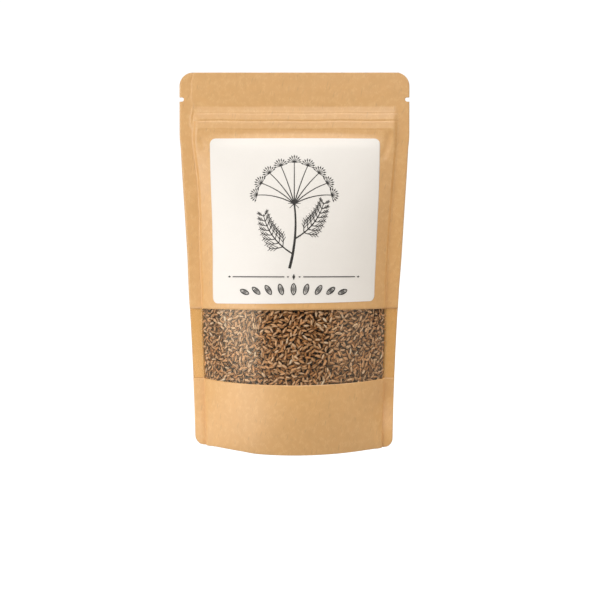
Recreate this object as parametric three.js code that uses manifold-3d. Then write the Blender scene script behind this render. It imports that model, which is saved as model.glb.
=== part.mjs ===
// A standing kraft paper pouch with a clear window band, filled with dill seeds.
// Millimetres, +Z up. The pouch stands on z = 0, its front faces -Y, and the origin is the
// middle of its foot.

import * as THREE from 'three';
import { mergeVertices } from 'three/addons/utils/BufferGeometryUtils.js';
import Module from 'manifold-3d';

const wasm = await Module();
wasm.setup();

// The flat bag
const WIDTH = 130;
const HEIGHT = 210;
const SIDE_SEAL = 6.5;
const WALL = 0.7;
const GAP = 0.3;
const TOP_CORNER = 8;
const FOOT_CORNER = 4;

// The filled bag
const FOOT_ANGLE = 0.97; // how steeply a wall leaves the side seal at the foot, in radians
const FILL_CURVE = 1.35; // how the walls close towards the zip
const BACKWARD_LEAN = 4; // how far the top edge sits behind the foot
const LEAST_ANGLE = 0.05; // a nearly flat arc, where the walls have closed

// The zip, the flat band of wall round it, and the header above
const ZIP = { tapeLow: 178.2, tapeHigh: 187.6, halfLength: 53.5, railSpacing: 1.25, ribHalf: 0.45, reach: 0.4 };
const ZIP_BAND = { fadeLow: 167, low: 177.5, high: 188.4, puff: 1.6, edge: 4.6 };
const HEADER_LOW = 191.4;
const NOTCH = { height: 195.2, depth: 3, radius: 1.25 };

// The window band and the label
const WINDOW = { low: 37.8, high: 77.5 };
const LABEL = { width: 95, low: 81.5, high: 172.7, corner: 3.2, thickness: 0.7 };

// The bottom gusset: its seal is low in the middle of the foot and climbs to the fold at the
// sides, and its floor is pressed flat by the fill between the flat shares of its depth
const GUSSET = { halfLength: 47.5, flatHalf: 18, sealLow: 5, foldHeight: 40, inset: 0.5 };
const GUSSET_FLAT = 0.4;
const GUSSET_BEND = 0.72;
const GUSSET_SPACE = { beyondEnds: 6, sideShare: 1.6, leastDepth: 4, foot: -3 };

// The seeds that show are larger than life: about 9 mm long where real ones are 4 mm
const FILL = { foot: 0.5, top: 146, heap: 3, inset: 2.5, overGusset: 1 };
const SEED = { length: 9.4, width: 4.3, thickness: 2.5, shoulder: 0.2, rise: 0.55 };
const WINDOW_SEEDS = {
  rows: 9, inRow: 16, overlap: 1.5, reach: 0.9, shift: [0.5, 0.6], tilt: 0.1, scale: [0.9, 1.05],
};
const TOP_SEEDS = { count: 36, halfLength: 38, halfDepth: 7.3, scale: 0.8, fall: 0.86, tilt: 0.3 };

const HALF = WIDTH / 2;
const HALF_PANEL = HALF - SIDE_SEAL;
const INNER = GAP / 2;
const OUTER = INNER + WALL;
const FRONT = -1;
const BACK = 1;

// Shape of the walls

const clamp01 = (value) => Math.min(1, Math.max(0, value));
const mix = (from, to, share) => from + (to - from) * share;

// The angle at which a wall leaves the side seal, falling to almost nothing at the zip
function wallAngle(v) {
  const closed = Math.pow(clamp01(v / ZIP_BAND.low), FILL_CURVE);
  return Math.max(LEAST_ANGLE, FOOT_ANGLE * Math.sqrt(1 - closed));
}

// Round the zip the wall is a flat plateau instead of an arc
function plateauShare(v) {
  return clamp01((v - ZIP_BAND.fadeLow) / (ZIP_BAND.low - ZIP_BAND.fadeLow));
}

function plateauHeight(v) {
  return ZIP_BAND.puff * clamp01((HEADER_LOW - v) / (HEADER_LOW - ZIP_BAND.high));
}

function backwardLean(z) {
  return BACKWARD_LEAN * (z / HEIGHT) ** 2;
}

// A point of a wall. u runs across the flat bag from its middle and v up it. out is the
// distance from the face where the two walls meet.
function onWall(side, u, v, out) {
  const reach = THREE.MathUtils.clamp(u, -HALF_PANEL, HALF_PANEL);
  const angle = wallAngle(v);
  const radius = HALF_PANEL / angle;
  const share = plateauShare(v);
  const turn = reach / radius;
  const arc = new THREE.Vector2(radius * Math.sin(turn), radius * (Math.cos(turn) - Math.cos(angle)));
  const slope = Math.min(1, (HALF_PANEL - Math.abs(reach)) / ZIP_BAND.edge);
  const place = arc.lerp(new THREE.Vector2(reach, plateauHeight(v) * slope), share);
  const normal = new THREE.Vector2(mix(Math.sin(turn), 0, share), mix(Math.cos(turn), 1, share));
  const beyond = Math.abs(u) - HALF_PANEL;
  if (beyond >= 0) {
    // The crease takes half the turn, and the seal strip outside it none
    const half = beyond === 0 ? (angle * (1 - share)) / 2 : 0;
    normal.set(Math.sign(u) * Math.tan(half), 1);
    place.x += Math.sign(u) * beyond;
  }
  return new THREE.Vector3(place.x + out * normal.x, side * (place.y + out * normal.y), v);
}

// How far a wall stands from the middle plane at a given x, moved out by a distance
function wallDepth(x, v, out) {
  const angle = wallAngle(v);
  const radius = HALF_PANEL / angle;
  return Math.sqrt(Math.max(0, (radius + out) ** 2 - x * x)) - radius * Math.cos(angle);
}

// Solids from grids of points

// A closed solid between two grids of the same size: pointAt(row, column, 0 or 1)
function gridSolid(rows, columns, pointAt) {
  const positions = [];
  const index = [];
  for (const face of [0, 1]) {
    for (let i = 0; i < rows; i++) {
      for (let j = 0; j < columns; j++) positions.push(...pointAt(i, j, face).toArray());
    }
  }
  const at = (i, j, face) => face * rows * columns + i * columns + j;
  const quad = (a, b, c, d) => index.push(a, b, c, a, c, d);
  const lastRow = rows - 1;
  const lastColumn = columns - 1;
  for (let i = 0; i < lastRow; i++) {
    for (let j = 0; j < lastColumn; j++) {
      quad(at(i, j, 1), at(i, j + 1, 1), at(i + 1, j + 1, 1), at(i + 1, j, 1));
      index.push(at(i, j, 0), at(i + 1, j + 1, 0), at(i, j + 1, 0));
      index.push(at(i, j, 0), at(i + 1, j, 0), at(i + 1, j + 1, 0));
    }
  }
  for (let j = 0; j < lastColumn; j++) {
    quad(at(0, j, 0), at(0, j + 1, 0), at(0, j + 1, 1), at(0, j, 1));
    quad(at(lastRow, j, 1), at(lastRow, j + 1, 1), at(lastRow, j + 1, 0), at(lastRow, j, 0));
  }
  for (let i = 0; i < lastRow; i++) {
    quad(at(i, 0, 1), at(i + 1, 0, 1), at(i + 1, 0, 0), at(i, 0, 0));
    quad(at(i, lastColumn, 0), at(i + 1, lastColumn, 0), at(i + 1, lastColumn, 1), at(i, lastColumn, 1));
  }
  return facingOut(positions, index);
}

// A geometry of these triangles with its faces pointing out
function facingOut(positions, index) {
  const corner = (k) => new THREE.Vector3().fromArray(positions, index[k] * 3);
  let volume = 0;
  for (let k = 0; k < index.length; k += 3) {
    volume += corner(k).dot(corner(k + 1).cross(corner(k + 2)));
  }
  if (volume < 0) index.reverse();
  const geometry = new THREE.BufferGeometry();
  geometry.setAttribute('position', new THREE.Float32BufferAttribute(positions, 3));
  geometry.setIndex(index);
  return geometry;
}

// Solids to cut and join

function toSolid(geometry) {
  const bare = geometry.clone();
  bare.deleteAttribute('normal');
  bare.deleteAttribute('uv');
  const merged = mergeVertices(bare, 1e-4);
  return new wasm.Manifold(new wasm.Mesh({
    numProp: 3,
    vertProperties: new Float32Array(merged.attributes.position.array),
    triVerts: new Uint32Array(merged.index.array),
  }));
}

function fromSolid(solid) {
  const mesh = solid.getMesh();
  const geometry = new THREE.BufferGeometry();
  geometry.setAttribute('position', new THREE.BufferAttribute(new Float32Array(mesh.vertProperties), 3));
  geometry.setIndex(new THREE.BufferAttribute(new Uint32Array(mesh.triVerts), 1));
  return geometry;
}

// A prism through both walls from an outline in x and z
function throughWalls(shape) {
  const depth = 20;
  const prism = new THREE.ExtrudeGeometry(shape, { depth, bevelEnabled: false });
  prism.rotateX(Math.PI / 2);
  prism.translate(0, depth / 2, 0);
  return toSolid(prism);
}

// What a rounded corner leaves out. right and up are 1 or -1 and say which way it points.
function cornerCutter(x, z, right, up, radius) {
  const spare = 1.5;
  const steps = 6;
  const point = (across, rise) => [x + right * across, z + up * rise];
  const shape = new THREE.Shape();
  shape.moveTo(...point(spare, spare));
  shape.lineTo(...point(-radius, spare));
  for (let k = 0; k <= steps; k++) {
    const turn = (k / steps) * (Math.PI / 2);
    shape.lineTo(...point(radius * (Math.sin(turn) - 1), radius * (Math.cos(turn) - 1)));
  }
  shape.lineTo(...point(spare, -radius));
  return throughWalls(shape);
}

// A tear notch with a round inner end
function notchCutter(right) {
  const { height, depth, radius } = NOTCH;
  const centre = HALF - depth + radius;
  const outside = HALF + 2;
  const steps = 8;
  const shape = new THREE.Shape();
  shape.moveTo(right * outside, height + radius);
  for (let k = 0; k <= steps; k++) {
    const turn = (k / steps) * Math.PI;
    shape.lineTo(right * (centre - radius * Math.sin(turn)), height + radius * Math.cos(turn));
  }
  shape.lineTo(right * outside, height - radius);
  return throughWalls(shape);
}

function footCutters() {
  const edge = onWall(FRONT, HALF, 0, 0).x;
  return [-1, 1].map((right) => cornerCutter(right * edge, 0, right, -1, FOOT_CORNER));
}

function headerCutters() {
  return [-1, 1].flatMap((right) => [
    cornerCutter(right * HALF, HEIGHT, right, 1, TOP_CORNER),
    notchCutter(right),
  ]);
}

function cut(geometry, cutters) {
  return fromSolid(cutters.reduce((solid, cutter) => solid.subtract(cutter), toSolid(geometry)));
}

// The walls. Every sheet on a wall shares these rows and columns, so that its facets lie
// alongside its neighbour's.

const HALF_COLUMNS = [8.8, 17.6, 26.4, 35.2, 44, HALF_PANEL - ZIP_BAND.edge, HALF_PANEL, HALF];
const WALL_COLUMNS = [...HALF_COLUMNS.map((u) => -u).reverse(), 0, ...HALF_COLUMNS];
const LOWER_ROWS = [0, 9, 18, 28, WINDOW.low - INNER];
const WINDOW_ROWS = [WINDOW.low + INNER, 47, 57, 67, WINDOW.high - INNER];
const UPPER_ROWS = [WINDOW.high + INNER, 90, 105, 120, 134, 147, 158, ZIP_BAND.fadeLow,
  LABEL.high - LABEL.corner, LABEL.high, ZIP_BAND.low, ZIP_BAND.high, HEADER_LOW, HEIGHT];

function wallSheet(side, rows) {
  const offsets = [INNER, OUTER];
  return gridSolid(rows.length, WALL_COLUMNS.length, (i, j, face) =>
    onWall(side, WALL_COLUMNS[j], rows[i], offsets[face]));
}

function backWall() {
  const rows = [...LOWER_ROWS, ...WINDOW_ROWS.slice(1, -1), ...UPPER_ROWS];
  return cut(wallSheet(BACK, rows), [...footCutters(), ...headerCutters()]);
}

function frontWallAboveWindow() {
  return cut(wallSheet(FRONT, UPPER_ROWS), headerCutters());
}

function frontWallBelowWindow() {
  return cut(wallSheet(FRONT, LOWER_ROWS), footCutters());
}

// The label, a sheet on the front wall whose end rows draw in to round the corners

function labelSheet() {
  const { width, low, high, corner, thickness } = LABEL;
  const bends = [0, 0.3, 1].map((share) => share * corner);
  const rows = [
    ...bends.map((rise) => low + rise),
    ...UPPER_ROWS.filter((v) => v > low + corner && v < high - corner),
    ...bends.map((rise) => high - rise).reverse(),
  ];
  const inner = WALL_COLUMNS.filter((u) => Math.abs(u) < width / 2 - corner);
  const columns = [-width / 2, ...inner, width / 2];
  const offsets = [OUTER + GAP, OUTER + GAP + thickness];
  return gridSolid(rows.length, columns.length, (i, j, face) => {
    const fromEdge = Math.min(rows[i] - low, high - rows[i], corner);
    const drawnIn = corner - Math.sqrt(corner ** 2 - (corner - fromEdge) ** 2);
    const halfRow = width / 2 - drawnIn;
    const u = THREE.MathUtils.clamp(columns[j], -halfRow, halfRow);
    return onWall(FRONT, u, rows[i], offsets[face]);
  });
}

// The zip: a tape with one tongue in front, and a tape with two rails that hold it behind

function zipStrip(side, ribHeights) {
  const { tapeLow, tapeHigh, halfLength, ribHalf, reach } = ZIP;
  const tapeOuter = ZIP_BAND.puff - INNER;
  const tapeInner = tapeOuter - WALL;
  const outline = [[tapeOuter, tapeLow], [tapeInner, tapeLow]];
  for (const height of ribHeights) {
    const low = (tapeLow + tapeHigh) / 2 + height - ribHalf;
    const high = low + 2 * ribHalf;
    outline.push([tapeInner, low], [-reach, low], [-reach, high], [tapeInner, high]);
  }
  outline.push([tapeInner, tapeHigh], [tapeOuter, tapeHigh]);
  const shape = new THREE.Shape(outline.map(([depth, z]) => new THREE.Vector2(side * depth, z)));
  const strip = new THREE.ExtrudeGeometry(shape, { depth: 2 * halfLength, bevelEnabled: false });
  strip.translate(0, 0, -halfLength);
  // The outline's plane becomes y and z, and its length lies along x
  const [x, y, z] = [new THREE.Vector3(1, 0, 0), new THREE.Vector3(0, 1, 0), new THREE.Vector3(0, 0, 1)];
  return strip.applyMatrix4(new THREE.Matrix4().makeBasis(y, z, x));
}

// The bottom gusset, as sections from the front wall to the back wall

// Nothing in the middle of the foot, growing to 1 at the gusset's ends
function sideRise(x) {
  return clamp01((Math.abs(x) - GUSSET.flatHalf) / (GUSSET.halfLength - GUSSET.flatHalf)) ** 2;
}

function gussetSealHeight(x) {
  return mix(GUSSET.sealLow, GUSSET.foldHeight, sideRise(x));
}

// The height of the sheet's middle at a share of the depth from the bag's middle plane
function gussetHeight(x, share) {
  const floor = mix(WALL / 2, GUSSET.foldHeight - 1, sideRise(x));
  const sag = clamp01((Math.abs(share) - GUSSET_FLAT) / (1 - GUSSET_FLAT)) ** 2;
  return mix(floor, gussetSealHeight(x), sag);
}

function gussetDepth(x, v) {
  return wallDepth(x, v, -GUSSET.inset);
}

// The middle line of the sheet at x: up the front seal, across the floor and down the back seal
function gussetSection(x) {
  const seal = gussetSealHeight(x);
  const sealed = [0, seal * 0.6, seal].map((v) => new THREE.Vector2(-gussetDepth(x, v), v));
  const floor = [GUSSET_BEND, GUSSET_FLAT].map((share) =>
    new THREE.Vector2(-share * gussetDepth(x, seal), gussetHeight(x, share)));
  const front = [...sealed, ...floor];
  const back = front.map((point) => new THREE.Vector2(-point.x, point.y)).reverse();
  return [...front, ...back];
}

// The same line moved sideways by a distance, with its two ends kept level
function besideSection(section, distance) {
  const last = section.length - 1;
  return section.map((point, k) => {
    const before = section[Math.max(0, k - 1)];
    const after = section[Math.min(last, k + 1)];
    const arriving = point.clone().sub(before).normalize();
    const leaving = after.clone().sub(point).normalize();
    const along = arriving.add(leaving).normalize();
    const atEnd = k === 0 || k === last;
    const beside = atEnd ? new THREE.Vector2(-Math.sign(along.y), 0) : new THREE.Vector2(-along.y, along.x);
    return point.clone().addScaledVector(beside, distance);
  });
}

const HALF_STATIONS = [9, GUSSET.flatHalf, 25, 31, 36, 40, 43.5, GUSSET.halfLength];
const GUSSET_STATIONS = [...HALF_STATIONS.map((x) => -x).reverse(), 0, ...HALF_STATIONS];

function gussetSheet() {
  const sections = GUSSET_STATIONS.map(gussetSection);
  const faces = [-WALL / 2, WALL / 2].map((distance) =>
    sections.map((section) => besideSection(section, distance)));
  return gridSolid(GUSSET_STATIONS.length, sections[0].length, (i, j, face) => {
    const point = faces[face][i][j];
    return new THREE.Vector3(GUSSET_STATIONS[i], point.x, point.y);
  });
}

// The seeds

// A small generator that gives the same numbers each time
function randomFrom(start) {
  let state = start;
  return () => {
    state = (Math.imul(state, 1664525) + 1013904223) >>> 0;
    return state / 4294967296;
  };
}

// One seed: a spindle with a ridge along each side, lying along x
function seedGeometry(scale) {
  const { length, width, thickness, shoulder } = SEED;
  const end = length / 2;
  const ring = (x) => [[x, width / 2, 0], [x, 0, thickness / 2], [x, -width / 2, 0], [x, 0, -thickness / 2]];
  const points = [[-end, 0, 0], ...ring(-length * shoulder), ...ring(length * shoulder), [end, 0, 0]];
  const index = [];
  for (let k = 0; k < 4; k++) {
    const next = (k + 1) % 4;
    index.push(0, 1 + k, 1 + next);
    index.push(1 + k, 5 + k, 5 + next, 1 + k, 5 + next, 1 + next);
    index.push(9, 5 + next, 5 + k);
  }
  return facingOut(points.flat().map((value) => value * scale), index);
}

// The body of seeds between the walls, from the foot up to its heaped top
function fillBody() {
  const levels = [FILL.foot, 20, 40, 57, 76, 92, 108, 122, 134, FILL.top];
  const perSide = 14;
  const around = 2 * perSide;
  const positions = [];
  const index = [];
  for (const v of levels) {
    const angle = wallAngle(v);
    const radius = HALF_PANEL / angle - FILL.inset;
    const toCentre = (HALF_PANEL / angle) * Math.cos(angle);
    const end = Math.acos(toCentre / radius);
    for (const side of [FRONT, BACK]) {
      for (let k = 0; k < perSide; k++) {
        const turn = mix(-end, end, k / perSide);
        positions.push(-side * radius * Math.sin(turn), side * (radius * Math.cos(turn) - toCentre), v);
      }
    }
  }
  const at = (i, k) => i * around + (k % around);
  const topLevel = levels.length - 1;
  const foot = positions.length / 3;
  const peak = foot + 1;
  positions.push(0, 0, FILL.foot, 0, 0, FILL.top + FILL.heap);
  for (let k = 0; k < around; k++) {
    for (let i = 0; i < topLevel; i++) {
      index.push(at(i, k), at(i, k + 1), at(i + 1, k + 1), at(i, k), at(i + 1, k + 1), at(i + 1, k));
    }
    index.push(foot, at(0, k + 1), at(0, k));
    index.push(peak, at(topLevel, k), at(topLevel, k + 1));
  }
  return toSolid(facingOut(positions, index));
}

// The space that the gusset takes from the foot of the fill, with some room above the sheet
function gussetSpace() {
  const { beyondEnds, sideShare, leastDepth, foot } = GUSSET_SPACE;
  const end = GUSSET.halfLength + beyondEnds;
  const xs = [-end, ...GUSSET_STATIONS, end];
  const halfShares = [GUSSET_FLAT, GUSSET_BEND, 1, sideShare];
  const shares = [...halfShares.map((share) => -share).reverse(), ...halfShares];
  return toSolid(gridSolid(xs.length, shares.length, (i, j, face) => {
    const x = THREE.MathUtils.clamp(xs[i], -GUSSET.halfLength, GUSSET.halfLength);
    const depth = Math.max(leastDepth, gussetDepth(x, gussetSealHeight(x)));
    const top = gussetHeight(x, shares[j]) + FILL.overGusset;
    return new THREE.Vector3(xs[i], shares[j] * depth, face === 1 ? top : foot);
  }));
}

// A seed laid on a surface: its place, the way out of the surface, its turn and its tilt there
function layingSeed(place, out, turn, tilt, scale) {
  const upright = new THREE.Quaternion().setFromUnitVectors(new THREE.Vector3(0, 0, 1), out);
  const spin = new THREE.Quaternion().setFromEuler(new THREE.Euler(0, tilt, turn, 'ZYX'));
  const matrix = new THREE.Matrix4().compose(place, upright.multiply(spin), new THREE.Vector3(1, 1, 1));
  return toSolid(seedGeometry(scale).applyMatrix4(matrix));
}

// Rows of seeds against the window, each off its place in the row by a random amount
function windowSeeds(random) {
  const { rows, inRow, overlap, reach, shift, tilt, scale } = WINDOW_SEEDS;
  const jitter = (amount) => amount * (random() - 0.5);
  const seeds = [];
  for (let row = 0; row < rows; row++) {
    for (let k = 0; k < inRow; k++) {
      const across = (k + (row % 2) / 2 + 0.25 + jitter(shift[0])) / inRow;
      const up = (row + 0.5 + jitter(shift[1])) / rows;
      const v = mix(WINDOW.low - overlap, WINDOW.high + overlap, up);
      const angle = wallAngle(v);
      const radius = HALF_PANEL / angle;
      const turn = mix(-reach, reach, across) * angle;
      const level = radius - FILL.inset + SEED.rise;
      const out = new THREE.Vector3(Math.sin(turn), -Math.cos(turn), 0);
      const place = out.clone().multiplyScalar(level);
      place.y += radius * Math.cos(angle);
      place.z = v;
      seeds.push(layingSeed(place, out, random() * Math.PI, jitter(tilt), mix(...scale, random())));
    }
  }
  return seeds;
}

// A sunflower spread of seeds on the heaped top
function topSeeds(random) {
  const { count, halfLength, halfDepth, scale, fall, tilt } = TOP_SEEDS;
  const goldenTurn = Math.PI * (3 - Math.sqrt(5));
  const up = new THREE.Vector3(0, 0, 1);
  const seeds = [];
  for (let k = 0; k < count; k++) {
    const share = Math.sqrt((k + 0.5) / count);
    const turn = k * goldenTurn;
    const height = FILL.top + FILL.heap * (1 - fall * share);
    const [x, y] = [halfLength * share * Math.cos(turn), halfDepth * share * Math.sin(turn)];
    const place = new THREE.Vector3(x, y, height);
    seeds.push(layingSeed(place, up, random() * Math.PI, tilt * (random() - 0.5), scale));
  }
  return seeds;
}

function seedsBody() {
  const random = randomFrom(7);
  const body = fillBody().subtract(gussetSpace());
  const joined = [...windowSeeds(random), ...topSeeds(random)].reduce((solid, seed) => solid.add(seed), body);
  // The outer skin alone, without the small hollows that overlapping seeds close off
  const skins = joined.decompose().sort((one, other) => other.volume() - one.volume());
  return fromSolid(skins[0]);
}

// Materials

const kraft = () => new THREE.MeshStandardMaterial({ color: 0xd8a976, roughness: 0.85, metalness: 0 });
const clearFilm = () => new THREE.MeshStandardMaterial({
  color: 0xe9e4da, roughness: 0.12, metalness: 0, transparent: true, opacity: 0.25,
});
const whitePaper = () => new THREE.MeshStandardMaterial({ color: 0xf4ece3, roughness: 0.7, metalness: 0 });
const seedCoat = () => new THREE.MeshStandardMaterial({ color: 0x906c4c, roughness: 0.8, metalness: 0 });
const zipPlastic = () => new THREE.MeshStandardMaterial({ color: 0xe6e0d6, roughness: 0.35, metalness: 0 });

// Assembly

const pouch = new THREE.Group();

function addPiece(name, geometry, material) {
  const position = geometry.attributes.position;
  for (let k = 0; k < position.count; k++) {
    position.setY(k, position.getY(k) + backwardLean(position.getZ(k)));
  }
  geometry.computeVertexNormals();
  const mesh = new THREE.Mesh(geometry, material);
  mesh.name = name;
  pouch.add(mesh);
}

addPiece('back_panel', backWall(), kraft());
addPiece('front_panel_upper', frontWallAboveWindow(), kraft());
addPiece('front_panel_lower', frontWallBelowWindow(), kraft());
addPiece('window_film', wallSheet(FRONT, WINDOW_ROWS), clearFilm());
addPiece('bottom_gusset', gussetSheet(), kraft());
addPiece('zip_tongue_strip', zipStrip(FRONT, [0]), zipPlastic());
addPiece('zip_rail_strip', zipStrip(BACK, [-ZIP.railSpacing, ZIP.railSpacing]), zipPlastic());
addPiece('label', labelSheet(), whitePaper());
addPiece('seeds', seedsBody(), seedCoat());

export default pouch;
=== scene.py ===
# A standing kraft paper pouch with a clear window band, filled with dill seeds.
# Metres, +Z up. The front faces -Y, and the pouch stands on z = 0.

import math

import bpy
import numpy as np
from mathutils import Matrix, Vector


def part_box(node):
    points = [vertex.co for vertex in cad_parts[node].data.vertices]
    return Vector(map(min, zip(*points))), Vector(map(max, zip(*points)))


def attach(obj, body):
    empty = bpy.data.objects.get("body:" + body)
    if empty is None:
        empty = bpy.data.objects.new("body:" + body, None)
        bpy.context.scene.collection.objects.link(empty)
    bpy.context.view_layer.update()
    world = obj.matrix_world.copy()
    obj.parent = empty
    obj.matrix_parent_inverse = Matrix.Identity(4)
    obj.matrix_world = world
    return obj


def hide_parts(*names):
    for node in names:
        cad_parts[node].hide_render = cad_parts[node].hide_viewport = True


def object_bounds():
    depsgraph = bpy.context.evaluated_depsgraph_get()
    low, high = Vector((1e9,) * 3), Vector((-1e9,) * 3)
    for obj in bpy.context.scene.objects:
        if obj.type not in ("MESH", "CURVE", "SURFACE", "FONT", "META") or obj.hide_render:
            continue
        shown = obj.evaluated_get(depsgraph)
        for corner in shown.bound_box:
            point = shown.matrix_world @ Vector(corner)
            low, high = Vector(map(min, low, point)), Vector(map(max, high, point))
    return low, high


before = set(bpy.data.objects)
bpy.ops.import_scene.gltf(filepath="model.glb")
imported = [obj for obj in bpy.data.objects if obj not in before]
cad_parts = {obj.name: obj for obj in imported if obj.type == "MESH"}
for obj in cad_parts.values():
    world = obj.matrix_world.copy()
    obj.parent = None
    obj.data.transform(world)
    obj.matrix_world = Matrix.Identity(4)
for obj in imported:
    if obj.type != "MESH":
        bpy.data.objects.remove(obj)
cad_low, cad_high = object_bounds()

# The view
# The photograph was taken from straight in front, level with the label's lower half, with the
# lens tipped down a little, so that the foot shows its curve.

VIEW_PLACE = (0.0031, -0.400, 0.1006)
VIEW_TIP = math.radians(2.63)
LENS = 42.42

camera = bpy.data.objects.new("view", bpy.data.cameras.new("view"))
camera.data.lens = LENS
camera.location = VIEW_PLACE
camera.rotation_euler = (math.pi / 2 - VIEW_TIP, 0, 0)
bpy.context.scene.collection.objects.link(camera)
bpy.context.scene.camera = camera

# The back wall
# One whole sheet of kraft paper behind the seeds, sealed to the front wall at its sides and its
# header. Its lined inner face shows through the film on the side seals.

MM = 0.001
FRONT = -1
BACK = 1
HALF = cad_high.x
HEIGHT = cad_high.z + 0.3 * MM


def feed(tree, node, inputs):
    """Gives a node its inputs, by name or in order, each a plain value or another node's socket."""
    for key, value in inputs.items() if isinstance(inputs, dict) else enumerate(inputs):
        if isinstance(value, bpy.types.NodeSocket):
            tree.links.new(value, node.inputs[key])
        else:
            node.inputs[key].default_value = value


def from_node(tree, kind, inputs=(), out=0, **settings):
    """What a new node puts out."""
    node = tree.nodes.new(kind)
    for name, value in settings.items():
        setattr(node, name, value)
    feed(tree, node, inputs)
    return node.outputs[out]


def maths(tree, operation, *values, clamp=False):
    return from_node(tree, "ShaderNodeMath", values, operation=operation, use_clamp=clamp)


def between(tree, low, high, share):
    return maths(tree, "MULTIPLY_ADD", maths(tree, "SUBTRACT", high, low), share, low)


def ramp(tree, value, start, end):
    return from_node(tree, "ShaderNodeMapRange", (value, start, end), interpolation_type="SMOOTHSTEP")


def noise(tree, place, scale, detail=2):
    return from_node(tree, "ShaderNodeTexNoise", {"Vector": place, "Scale": scale, "Detail": detail})


def separated(tree, vector):
    node = tree.nodes.new("ShaderNodeSeparateXYZ")
    feed(tree, node, (vector,))
    return node.outputs


def combined(tree, *values):
    return from_node(tree, "ShaderNodeCombineXYZ", values)


def looked_up(tree, value, places, results):
    """The value's result by a table, in a smooth line through its rows."""
    low, high = min(results), max(results)
    length = places[-1] - places[0]
    node = tree.nodes.new("ShaderNodeFloatCurve")
    curve = node.mapping.curves[0]
    while len(curve.points) < len(places):
        curve.points.new(0.5, 0.5)
    for point, place, result in zip(curve.points, places, results):
        point.location = ((place - places[0]) / length, (result - low) / (high - low))
    node.mapping.update()
    feed(tree, node, {"Value": maths(tree, "MULTIPLY_ADD", value, 1 / length, -places[0] / length)})
    return maths(tree, "MULTIPLY_ADD", node.outputs[0], high - low, low)


def new_group(name, family, inputs, outputs):
    """A node tree, what its inputs give and the node that takes its outputs. Each input is named
    with its value, or with its kind where it starts empty."""
    tree = bpy.data.node_groups.new(name, family)
    for label, value in inputs.items():
        kind = {int: "Int", float: "Float"}.get(type(value), value)
        socket = tree.interface.new_socket(label, in_out="INPUT", socket_type="NodeSocket" + kind)
        if kind != value:
            socket.default_value = value
    for label, kind in outputs.items():
        tree.interface.new_socket(label, in_out="OUTPUT", socket_type="NodeSocket" + kind)
    return tree, tree.nodes.new("NodeGroupInput").outputs, tree.nodes.new("NodeGroupOutput")


# Every wall is cut and pressed flat, and sealed to the other at its sides and its header. The fill
# then bulges it. One node tree does that to each flat piece: x runs across the flat bag, z up it,
# and y is how far the piece lies outside the plane where the two walls meet.
FOOT_ANGLE = 0.97
FILL_CURVE = 1.35
LEAST_ANGLE = 0.05
BACKWARD_LEAN = 4 * MM
PLATEAU = {"Fade Foot": 167 * MM, "Plateau Foot": 177.5 * MM, "Header Foot": 191.2 * MM}
PUFF = 1.9 * MM
PUFF_EDGE = 4.2 * MM
FOLD = 2.6 * MM
FOLD_END = -0.4 * MM
WOBBLE = 1.2 * MM
WOBBLES_PER_METRE = 90
SWAY = -0.4 * MM
SWAY_HEIGHTS = (110 * MM, 85 * MM)

# The folds inside the side seals wander. In millimetres, from the foot up: the height, how far
# the panel's middle lies to the right of the bag's there, and half the panel's width.
FOLDS = ((0, 0.15, 59.35), (60, 0.05, 59.35), (75, 0, 58.7), (90, -0.1, 58), (105, -0.25, 58.05),
         (120, 0.05, 57.85), (140, 0.55, 57.6), (152, 0.65, 57.75), (172, 0.3, 58.65),
         (180, 0.45, 58.65), (210, 0.45, 58.65))
FOLD_HEIGHTS, FOLD_SHIFTS, FOLD_HALVES = (np.array(FOLDS) * MM).T.tolist()


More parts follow.
